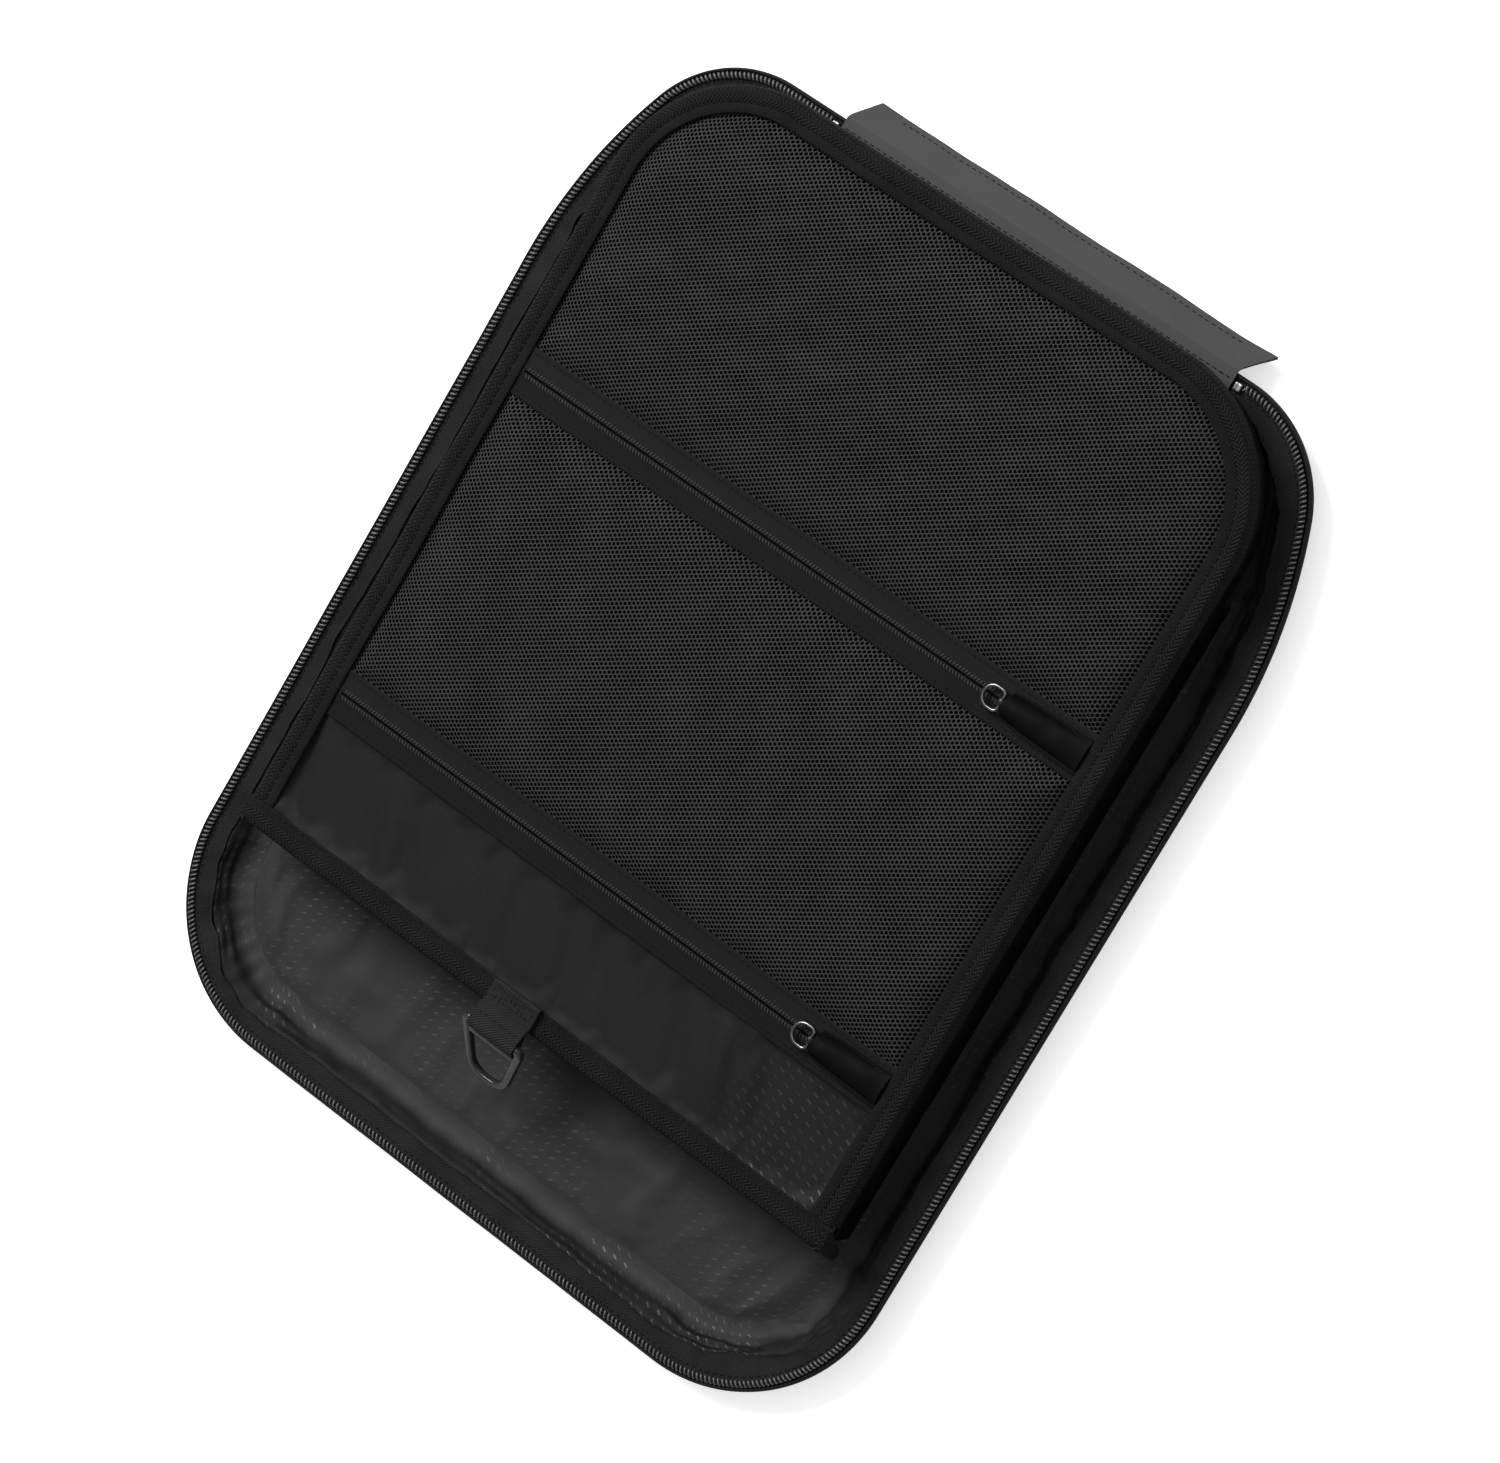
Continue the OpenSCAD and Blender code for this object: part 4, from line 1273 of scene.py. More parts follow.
def build_zip(tag, y, sx, node_tape, node_coil, node_stop, seed):
    x0, x1 = -(PW - 1.8), PW - 1.8
    xs = np.linspace(x0, x1, 230)
    nz = waves(seed, 40, 130)
    tick = Geo()
    # the hinge-side tape takes the lighter copy and the mouth-side tape the darker copy: painted light and shade
    for s, mt in ((1, "zip_tape"), (-1, "zip_tape_low")):
        w = np.array([0.32, 0.55, 1.2, 2.0, 3.0, 4.4, 6.0, 7.6, 9.0, 9.7, 10.1, ZHALF - 0.05])
        prof = np.array([-0.10, 0.05, 0.12, 0.08, -0.02, -0.08, -0.10, -0.06, 0.0, 0.08, 0.06, -0.05])
        yy = y + s * w
        x, yg = np.meshgrid(xs, yy)
        wob = 0.10 * nz(x, yg) * smooth(w / 4)[:, None]
        z = ZTAPE + 0.38 + prof[:, None] + wob
        top, bot = np.stack([x, yg, z + 0.2], -1), np.stack([x, yg, z - 0.2], -1)
        uv = np.stack([x, yg - y], -1).reshape(-1, 2)
        g = slab(top, bot, uv=uv) if s > 0 else slab(top[::-1], bot[::-1], uv=np.stack([x[::-1], yg[::-1] - y], -1).reshape(-1, 2))
        # row that sews the tape to the cloth beside it
        off = 8.3
        row = np.column_stack([xs, np.full(230, y + s * off), np.interp(off, w, prof) + ZTAPE + 0.58 + 0.10 * nz(xs, y + s * off)])
        stitches(g, row, (0, 0, 1), 2.2, 3.0, 0.2, m=1, lift=-0.02)
        place(f"{tag}_zip_tape_{'hinge' if s > 0 else 'mouth'}_side", g, [G[mt], G["thread"]], replaces=[node_tape], slot="zip_tape", angle=40)
        # slanting threads that sew the coil on
        n = int((sx + 9.0 + 141.0) / 1.5)
        tx = -141.0 + np.arange(n) * 1.5
        t = np.array([0.0, 0.15, 0.5, 0.85, 1.0])
        rr = np.array([0.5, 0.9, 1, 0.9, 0.5]) * 0.2
        cy = y + s * (0.55 + 1.95 * t)
        cx = tx[:, None] + (t * 0.75)[None]
        cyy = np.broadcast_to(cy, cx.shape)
        cz = np.interp(np.abs(cyy - y), w, prof) + ZTAPE + 0.42 + np.array([-0.12, 0.06, 0.12, 0.06, -0.12])[None] + 0.10 * nz(cx, cyy) * smooth(np.abs(cyy - y) / 4)
        c = np.stack([cx, cyy, cz], -1)
        d = np.array([0.75, 1.95 * s, 0.0])
        d /= np.linalg.norm(d)
        side = np.cross((0, 0, 1), d)
        ph = np.arange(6) / 6 * 2 * np.pi
        v = c[:, :, None] + side * (rr[None, :, None] * np.cos(ph))[..., None] + np.array([0, 0, 1.0]) * (rr[None, :, None] * np.sin(ph))[..., None]
        idx = np.arange(n * 5 * 6).reshape(n, 5, 6)
        a, b = idx[:, :-1], idx[:, 1:]
        quads = np.stack([a, b, np.roll(b, -1, 2), np.roll(a, -1, 2)], -1).reshape(-1, 4)
        tick.add(v.reshape(-1, 3), [quads, idx[:, 0], idx[:, -1][:, ::-1]])
    place(f"{tag}_zip_coil_sewing", tick, G["tick"], slot="coil", angle=0)
    # the coils themselves, under the tapes
    g = Geo()
    for s in (1, -1):
        xx = np.arange(-142, sx + 11.0, 1.0)
        p = np.column_stack([xx, np.full(len(xx), y + s * 1.42)])
        n = np.broadcast_to([0.0, 1.0], p.shape)
        helix((p, n, xx - xx[0], xx[-1] - xx[0]), 0.0, 38.15, 0.55, 0.38, 0.27, 1.5, 8, 5, True, g, 1)
    place(f"{tag}_zip_coil_helix", g, [G["coil_dark"], G["gusset"]], replaces=[node_coil], slot="coil", angle=0, recalc=False)
    lo, hi = bx(node_stop)
    g = Geo()
    for x in (lo[0] + 2, hi[0] - 2):
        clip((x, y, 38.2), (2.0, 2.3, 0.7), g)
    place(f"{tag}_zip_stop_clips", g, G["stops"], replaces=[node_stop], slot="stops", angle=0)


def build_garage(tag, y, sx, node, seed):
    lo, hi = bx(node)
    x0, x1 = lo[0], hi[0]
    n, m = 34, 33
    xs = np.linspace(x0, x1 + 0.2, n)
    f = (xs - x0) / (x1 - x0)
    w = 6.0 + 2.1 * f + 0.35 * np.sin(f * 5.0)
    # height of the hood along its length: open and full at the mouth, pressed down where it is sewn under the binding
    h = 4.5 - 1.5 * smooth((f - 0.1) / 0.5) - 1.4 * smooth((f - 0.62) / 0.38)
    t = np.linspace(-1, 1, m)
    nz = waves(seed, 7, 22)
    core = np.clip(np.abs(t) / 0.80, 0, 1)
    arch = (1 - core ** 2.4) ** 0.75
    flat = 0.15
    z = lo[2] + 0.45 + h[:, None] * arch[None] * (1 + 0.05 * nz(xs[:, None], t[None] * 8))
    z += 0.10 * nz(xs[:, None] + 90, t[None] * 9) * arch[None]
    yy = y + w[:, None] * t[None]
    mid = np.stack([np.broadcast_to(xs[:, None], yy.shape) - 0.9 * arch[None] * smooth(1 - f * 6)[:, None] * 0.6, yy, z], -1)
    uvg = np.stack([mid[..., 0], yy - y], -1)
    mid = np.swapaxes(mid, 0, 1)[:, :]
    uvg = np.swapaxes(uvg, 0, 1).reshape(-1, 2)
    nn = normals_of(mid)
    if nn[..., 2].mean() < 0:
        nn = -nn
    hem = 0.14 * smooth(1 - f * 9)[None, :, None]
    top = mid + nn * (0.32 + hem)
    bot = mid - nn * (0.32 + hem)
    bot[..., 2] = np.maximum(bot[..., 2], lo[2] + 0.05)
    g = slab(top, bot, uv=uvg)
    # sewn down along both sides, and a row along the hem of the mouth
    for s in (-1, 1):
        k = int(round((0.9 * s + 1) / 2 * (m - 1)))
        row = top[k, 1:-1] + np.array([0, 0, 0.0])
        stitches(g, row, (0, 0, 1), 1.9, 2.6, 0.18, m=1, lift=0.0)
    hemrow = top[3:-3, 2]
    stitches(g, hemrow, nn[3:-3, 2], 1.6, 2.3, 0.16, m=1, lift=0.0)
    place(f"{tag}_zip_garage_hood", g, [G["garage"], G["thread"]], replaces=[node], slot="garage", angle=60)


def build_slider(tag, y, sx, body, node):
    g = Geo()

    def nose(q):
        q = q.copy()
        f = np.clip((-q[:, 0] - 1.0) / 5.3, 0, 1)
        q[:, 1] *= 1 - 0.30 * f ** 1.5
        q[:, 2] += 0.12 * (1 - (q[:, 1] / 3.9) ** 2) * (q[:, 2] > 0)
        return q
    rbox((sx + 4.7, y, 40.5), (6.3, 3.9, 0.58), 0.5, 14, nose, g)
    rbox((sx + 4.9, y, 36.6), (5.5, 3.6, 0.55), 0.45, 10, nose, g)
    rbox((sx + 7.75, y, 38.4), (1.7, 0.48, 1.9), 0.3, 8, None, g)
    for s in (-1, 1):
        rbox((sx + 4.9, y + s * 3.1, 37.85), (5.4, 0.5, 0.83), 0.3, 8, None, g)
    # lug: an arched bridge with the loop's eye through it
    ro, ri, cz = 1.55, 0.86, ZPULL
    ph = np.linspace(0, 2 * np.pi, 29)[:-1]
    outer = np.stack([ro * np.cos(ph), ro * np.sin(ph)], 1)
    outer[:, 1] = np.where(outer[:, 1] < 0, outer[:, 1] * 0.98, outer[:, 1] * 0.95)
    inner = np.stack([ri * np.cos(ph), ri * np.sin(ph)], 1)
    ys = np.array([-1.4, -1.25, 1.25, 1.4])
    sc = np.array([0.93, 1.0, 1.0, 0.93])
    k = len(ph)
    vo = np.array([[(sx + p[0] * c, y + yy, cz + p[1] * c) for p in outer] for yy, c in zip(ys, sc)])
    vi = np.array([[(sx + p[0], y + yy, cz + p[1]) for p in inner] for yy in ys])
    v = np.concatenate([vo.reshape(-1, 3), vi.reshape(-1, 3)])
    io = np.arange(4 * k).reshape(4, k)
    ii = io + 4 * k
    quads = []
    for r in range(3):
        quads.append(np.stack([io[r], io[r + 1], np.roll(io[r + 1], -1), np.roll(io[r], -1)], -1))
        quads.append(np.stack([ii[r], np.roll(ii[r], -1), np.roll(ii[r + 1], -1), ii[r + 1]], -1))
    quads.append(np.stack([io[0], np.roll(io[0], -1), np.roll(ii[0], -1), ii[0]], -1))
    quads.append(np.stack([io[3], ii[3], np.roll(ii[3], -1), np.roll(io[3], -1)], -1))
    g.add(v, [np.concatenate(quads)])
    rbox((sx + 0.35, y, 41.0), (1.55, 1.25, 0.42), 0.2, 6, None, g)
    place(f"{tag}_slider_body", g, G["slider"], body, replaces=[node], slot="slider", angle=60)


def build_loop(tag, y, sx, body, node):
    c, r, rw = 4.5, 2.0, 0.79
    pts = []
    for a in np.linspace(-(c - r), c - r, 7)[:-1]:
        pts.append((0, a))
    for a in np.linspace(0, 90, 7)[:-1]:
        a = math.radians(a)
        pts.append((-r + r * math.cos(a), (c - r) + r * math.sin(a)))
    for a in np.linspace(-r, -r - 2, 4)[:-1]:
        pts.append((a, c))
    for a in np.linspace(90, 270, 25)[:-1]:
        a = math.radians(a)
        pts.append((-r - 2 + c * math.cos(a), c * math.sin(a)))
    for a in np.linspace(-r - 2, -r, 4)[:-1]:
        pts.append((a, -c))
    for a in np.linspace(270, 360, 7)[:-1]:
        a = math.radians(a)
        pts.append((-r + r * math.cos(a), -(c - r) + r * math.sin(a)))
    p = np.array(pts)
    cpts = np.column_stack([sx + p[:, 0], y + p[:, 1], np.full(len(p), ZPULL)])
    tan = np.roll(cpts, -1, 0) - np.roll(cpts, 1, 0)
    tan /= np.linalg.norm(tan, axis=1, keepdims=True)
    up = np.broadcast_to([0, 0, 1.0], cpts.shape)
    side = np.cross(up, tan)
    g = tube(cpts, side, up, rw, sides=16, closed=True)
    place(f"{tag}_pull_wire_loop", g, G["pull_wire"], body, replaces=[node], slot="pull_wire", angle=0)


# ---- bindings and gussets -------------------------------------------------

def u_profile(inner, groove=1.0):
    """Woven binding folded over an edge, as (inset, z) with its groove: the outer run and the inner run."""
    zt, zb = ZT, ZB
    g = 0.52 * groove
    top = [(inner, zt - 0.95), (inner - 0.12, zt - 0.45), (inner - 0.6, zt - 0.22), (inner - 1.6, zt - 0.12), (inner - 2.8, zt - 0.14),
           (inner - 3.7, zt - 0.15 - 0.3 * g), (7.25, zt - g), (6.85, zt - g), (6.4, zt - 0.1 - 0.2 * g), (5.4, zt - 0.04), (4.0, zt), (2.6, zt - 0.16),
           (1.5, zt - 0.65), (0.7, zt - 1.5), (0.2, zt - 2.7), (0.05, zt - 4.4), (0.2, zb + 2.4), (0.7, zb + 1.3), (1.6, zb + 0.5),
           (3.0, zb + 0.1), (5.0, zb + 0.0), (8.0, zb + 0.05), (inner, zb + 0.1)]
    inn = [(inner, zb + 0.75), (8.0, zb + 0.8), (5.0, zb + 0.85), (2.6, zb + 1.3), (1.45, zb + 2.4), (1.2, zt - 4.4), (1.5, zt - 2.6),
           (2.6, zt - 1.35), (4.4, zt - 1.02), (7.0, zt - 1.08), (inner - 1, zt - 1.02)]
    return top, inn


def build_binding():
    o = outline(panel_segs(PY0 + BW + 0.2), 1.6, False)
    top, inn = u_profile(BW)
    prof = np.array(top + inn)
    wob, wob2 = waves(101, 20, 80), waves(102, 50, 160)

    def disp(s, k):
        a = 0.10 * wob(s, k * 0.8) + 0.15 * wob2(s, 0 * k)
        return np.clip(a, -0.3, 0.3), np.clip(0.10 * wob(s + 500, k * 0.8), -0.2, 0.12)
    # the pattern's v runs from the outer fold inwards, so that the band by the fold has the twill
    k = len(prof)
    v = np.empty(k + 1)
    for i in range(k):
        ins, z = prof[i]
        if i < 13:
            v[i] = ins
        elif i < len(top):
            v[i] = -(ZT - z) if i < 19 else -(ZT - ZB) - ins
        else:
            v[i] = 8.0 + i
    v[k] = v[0]
    g = sweep(o, prof, False, True, disp=disp, vv=v)
    p, n, s, _ = o
    for ins, z in ((7.05, ZT - 0.50),):
        pts = np.column_stack([p - n * ins, np.full(len(p), z)])
        stitches(g, pts, (0, 0, 1), 2.5, 3.1, 0.24, m=1, lift=0.06)
    pts = np.column_stack([p - n * 7.05, np.full(len(p), ZB + 0.04)])
    stitches(g, pts, (0, 0, -1), 2.5, 3.1, 0.24, m=1, lift=0.0)
    place("panel_binding_twill", g, [G["binding"], G["thread"]], replaces=["panel_binding"], slot="binding", angle=60)


def build_mouth():
    xs = np.linspace(-PW + 0.3, PW - 0.3, 210)
    top, inn = u_profile(BW, 0.4)
    prof = np.array(top + inn)
    k = len(prof)
    n = len(xs)
    wob = waves(111, 26, 90)
    e = np.minimum(PW - np.abs(xs), 8.0) / 8.0
    # round the two ends so that the fold closes
    endr = np.sqrt(np.clip(1 - (1 - np.clip(e * 4, 0, 1)) ** 2, 0.02, 1))
    mid_z = (ZT + ZB) / 2
    v = np.empty((n, k, 3))
    a = np.clip(0.12 * wob(xs[:, None], np.arange(k)[None] * 1.0), -0.25, 0.25)
    v[..., 0] = xs[:, None]
    v[..., 1] = PY0 + prof[None, :, 0] + a
    v[..., 2] = mid_z + (prof[None, :, 1] - mid_z) * (0.90 + 0.10 * endr[:, None]) + np.minimum(a, 0) * 0.6
    idx = np.arange(n * k).reshape(n, k)
    A, B = idx[:-1], idx[1:]
    quads = np.stack([A, B, np.roll(B, -1, 1), np.roll(A, -1, 1)], -1).reshape(-1, 4)
    vv = np.empty(k + 1)
    for i in range(k):
        ins, z = prof[i]
        vv[i] = ins if i < 13 else (-(ZT - z) if i < 19 else (-(ZT - ZB) - ins if i < len(top) else 8.0 + i))
    vv[k] = vv[0]
    uu = np.stack(np.broadcast_arrays(xs[:-1, None], xs[1:, None], xs[1:, None], xs[:-1, None]), -1)
    uu = np.broadcast_to(uu, (n - 1, k, 4))
    vq = np.broadcast_to(np.stack([vv[:-1], vv[:-1], vv[1:], vv[1:]], -1)[None], (n - 1, k, 4))
    g = Geo()
    g.add(v, [quads, idx[0][None, :], idx[-1][None, ::-1]], [np.stack([uu, vq], -1).reshape(-1, 4, 2), None, None])
    for off, z in ((7.05, ZT - 0.50), (10.3, ZT - 0.17)):
        row = np.column_stack([xs[3:-3], np.full(n - 6, PY0 + off), np.full(n - 6, z)])
        stitches(g, row, (0, 0, 1), 2.5, 3.1, 0.22, m=1, lift=0.03)
    # the binding's two ends droop past the panel's corners and taper to a tip
    for s in (-1, 1):
        nq, nw = 24, 11
        q = np.linspace(0, 1, nq)
        ang = math.radians(77) * smooth(q * 3.2 + 0.12)
        ln = 14.6
        x, z = PW - 2.9, ZT - 0.62
        px, pz, nx, nz = [], [], [], []
        for i in range(nq):
            if i:
                x += math.cos(ang[i]) * ln / (nq - 1)
                z -= math.sin(ang[i]) * ln / (nq - 1)
            px.append(x)
            pz.append(z)
            nx.append(math.sin(ang[i]))
            nz.append(math.cos(ang[i]))
        px, pz, nx, nz = map(np.array, (px, pz, nx, nz))
        w = np.linspace(0, 1, nw)
        ya = PY0 + 0.35 - 2.9 * smooth((q - 0.15) / 0.85)
        yb = PY0 + BW - 0.35 - 8.6 * np.clip((q - 0.12) / 0.88, 0, 1) ** 0.85
        tip = 1.3 * np.clip((q - 0.86) / 0.14, 0, 1) ** 2
        Y = (ya + tip)[:, None] + ((yb - tip) - (ya + tip))[:, None] * w[None]
        cup = 0.45 * (1 - (2 * w - 1) ** 2)[None] * smooth(q * 2)[:, None] + 0.16 * wob(Y + 40 * s, q[:, None] * 14)
        mid = np.stack([s * (px[:, None] + nx[:, None] * cup), Y, pz[:, None] + nz[:, None] * cup], -1)
        nn = np.stack([np.broadcast_to(s * nx[:, None], Y.shape), np.zeros(Y.shape), np.broadcast_to(nz[:, None], Y.shape)], -1)
        uv = np.stack([np.broadcast_to(q[:, None] * ln, Y.shape), np.broadcast_to(w[None] * 6.5, Y.shape)], -1).reshape(-1, 2)
        tg = slab(mid + nn * 0.45, mid - nn * 0.45, uv=uv)
        g.add(np.concatenate(tg.v), tg.f, tg.uv)
        row = mid[4:-2, nw - 2] + nn[4:-2, nw - 2] * 0.45
        stitches(g, row, nn[4:-2, nw - 2], 2.0, 2.9, 0.2, m=1, lift=0.0)
    place("mouth_binding_twill", g, [G["binding"], G["thread"]], replaces=["mouth_binding"], slot="binding", angle=60)


def build_gussets():
    zlo, zhi = floor_hi[2] + 0.6, ZB - 0.15
    zs = np.linspace(0, 1, 13)
    nz1, nz2 = waves(121, 14, 44), waves(122, 40, 120)
    for s, node, name in ((-1, "left_gusset", "left_gusset_cloth"), (1, "right_gusset", "right_gusset_cloth")):
        ys = np.linspace(PY0 + 3.0, PY0 + 291.3, 124)
        y, t = np.meshgrid(ys, zs)
        env = np.sin(np.pi * t) ** 0.7
        bul = 0.9 * env + env * (0.8 * nz1(y + 400 * s, t * 12) + 0.5 * nz2(y + 300 * s, t * 9))
        x = s * (PW - 4.6 + bul)
        z = zlo + (zhi - zlo) * t
        mid = np.stack([x, y, z], -1)
        nn = normals_of(mid)
        uv = np.stack([y, z], -1).reshape(-1, 2)
        g = slab(mid + nn * 0.28, mid - nn * 0.28, uv=uv)
        place(name, g, G["gusset"], replaces=[node], slot="gusset", angle=60)
    # round the hinge end
    o = outline([("l", (PW, PY0 + 290.8), (PW, PY1 - PR)), ("a", (PW - PR, PY1 - PR), PR, 0, 90), ("l", (PW - PR, PY1), (-(PW - PR), PY1)),
                 ("a", (-(PW - PR), PY1 - PR), PR, 90, 180), ("l", (-PW, PY1 - PR), (-PW, PY0 + 290.8))], 2.4, False)
    p, n, sl, _ = o
    over = smooth((X1S + 5 - p[:, 0]) / 4) * smooth((p[:, 0] - (X0S - 5)) / 4) * (p[:, 1] > PY1 - 8)
    z0 = 16.05 + 1.4 * over
    t = zs
    env = np.sin(np.pi * t) ** 0.7
    bul = 0.7 * env[None] + env[None] * (0.6 * nz1(sl[:, None] + 900, t[None] * 12) + 0.4 * nz2(sl[:, None], t[None] * 9))
    ins = 4.1 - bul
    mid = np.concatenate([p[:, None] - n[:, None] * ins[..., None], (z0[:, None] + (zhi - z0)[:, None] * t[None])[..., None]], -1)
    nn = normals_of(mid)
    uv = np.stack([np.broadcast_to(sl[:, None], ins.shape), mid[..., 2]], -1).reshape(-1, 2)
    g = slab(mid + nn * 0.28, mid - nn * 0.28, uv=uv)
    place("hinge_end_gusset_cloth", g, G["gusset"], replaces=["top_gusset"], slot="gusset", angle=60)


# ---- tab and ring ---------------------------------------------------------

def ribbon(path, width, th, xc, cols=13, edge=0.18):
    """A strap along a path of (y, z) in the plane x = xc: thickness th, soft edges. Returns the top and bottom grids and uv."""
    path = np.asarray(path, float)
    tan = np.gradient(path, axis=0)
    tan /= np.linalg.norm(tan, axis=1, keepdims=True)
    nrm = np.stack([-tan[:, 1], tan[:, 0]], 1)
    s = np.concatenate([[0], np.cumsum(np.linalg.norm(np.diff(path, axis=0), axis=1))])
    t = np.linspace(-1, 1, cols)
    t = np.sign(t) * np.abs(t) ** 0.85
    x = xc + t * width / 2
    h = th / 2 * (1 - edge * np.abs(t) ** 8)
    mid = np.stack([np.broadcast_to(x[None], (len(path), cols)), np.broadcast_to(path[:, :1], (len(path), cols)), np.broadcast_to(path[:, 1:], (len(path), cols))], -1)
    n3 = np.stack([np.zeros(len(path)), nrm[:, 0], nrm[:, 1]], 1)[:, None]
    uv = np.stack([np.broadcast_to(s[:, None], (len(path), cols)), np.broadcast_to(t[None] * width / 2, (len(path), cols))], -1).reshape(-1, 2)
    return mid + n3 * h[None, :, None], mid - n3 * h[None, :, None], uv, mid, n3


def build_tab():
    w = anc_hi[0] - anc_lo[0] - 0.2
    ycut = anc_lo[1] + 0.0
    th = 1.05
    # sewn end: two layers on the binding
    g = Geo()
    zb = anc_lo[2]
    y1 = anc_hi[1]
    low = [(ycut, zb + 0.60), (ycut + 2.0, zb + 0.56), (y1 - 3, zb + 0.55), (y1 - 0.6, zb + 0.55), (y1 - 0.1, zb + 0.5)]
    upp = [(ycut, zb + 1.70), (ycut + 1.5, zb + 1.66), (y1 - 3.4, zb + 1.62), (y1 - 2.3, zb + 1.74), (y1 - 1.5, zb + 1.98), (y1 - 0.85, zb + 1.95), (y1 - 0.45, zb + 1.6)]
    for path in (low, upp):
        path = np.array(path)
        k = np.linspace(0, len(path) - 1, 13)
        path = np.stack([np.interp(k, np.arange(len(path)), path[:, i]) for i in (0, 1)], 1)
        a, b, uv, mid, n3 = ribbon(path, w, th, TX)
        slab(a, b, g, uv=uv)
    # box stitch
    zt = zb + 1.62 + th / 2
    xa, xb, ya, yb = TX - w / 2 + 2, TX + w / 2 - 2, ycut + 1.4, y1 - 1.8
    for row in ([(xa, ya), (xb, ya)], [(xa, yb), (xb, yb)], [(xa, ya), (xa, yb)], [(xb, ya), (xb, yb)], [(xa, ya), (xb, yb)], [(xa, yb), (xb, ya)]):
        q = np.array(row, float)
        k = np.linspace(0, 1, 12)[:, None]
        pts = np.column_stack([q[0] + (q[1] - q[0]) * k, np.full(12, zt)])
        stitches(g, pts, (0, 0, 1), 1.7, 2.3, 0.19, m=1, lift=-0.02)
    place("tab_anchor_webbing", g, [G["webbing"], G["thread"]], replaces=["tab_anchor"], slot="webbing", angle=50)
    # free loop: out over the mouth edge, round the bar and back underneath
    rc = 2.09 + th / 2
    pts = [(ycut, zb + 1.70), (ycut - 1.0, zb + 1.85), (YFOLD - 2.5, ZBAR + 0.62)]
    a0 = 72
    for a in np.linspace(a0, 360 - a0, 25):
        r = math.radians(a)
        pts.append((YBAR + rc * math.cos(r), ZBAR + rc * math.sin(r)))
    pts += [(YFOLD - 2.5, ZBAR - 0.62), (ycut - 1.0, zb + 0.68), (ycut, zb + 0.60)]
    pts = np.array(pts)
    ln = np.concatenate([[0], np.cumsum(np.linalg.norm(np.diff(pts, axis=0), axis=1))])
    k = np.linspace(0, ln[-1], 90)
    path = np.stack([np.interp(k, ln, pts[:, i]) for i in (0, 1)], 1)
    for _ in range(3):
        path[1:-1] = path[1:-1] * 0.5 + (path[:-2] + path[2:]) * 0.25
    near = np.hypot(path[:, 0] - YBAR, path[:, 1] - ZBAR)
    out = (path[:, 0] < YBAR + 1.5)
    for i in np.nonzero(out & (near < rc))[0]:
        path[i] = np.array([YBAR, ZBAR]) + (path[i] - [YBAR, ZBAR]) * rc / near[i]
    g = Geo()
    a, b, uv, mid, n3 = ribbon(path, w, th, TX)
    slab(a, b, g, uv=uv)
    # the row that closes the loop beside the bar
    yrow = YBAR + 4.6
    i = int(np.argmin(np.abs(path[:45, 0] - yrow)))
    top = mid[i] + n3[i] * (th / 2) * (1 if n3[i][0, 2] > 0 else -1)
    stitches(g, np.array([[TX - w / 2 + 1.5, top[0, 1], top[:, 2].max()], [TX, top[0, 1], top[:, 2].max()], [TX + w / 2 - 1.5, top[0, 1], top[:, 2].max()]]), (0, 0, 1), 1.9, 2.5, 0.2, m=1, lift=-0.04)
    place("webbing_tab_loop", g, [G["webbing"], G["thread"]], replaces=["webbing_tab"], slot="webbing", angle=50,
          blend=("tray", "tab", (TX, YFOLD + 0.5, ZBAR), (TX, YFOLD - 2.4, ZBAR)))


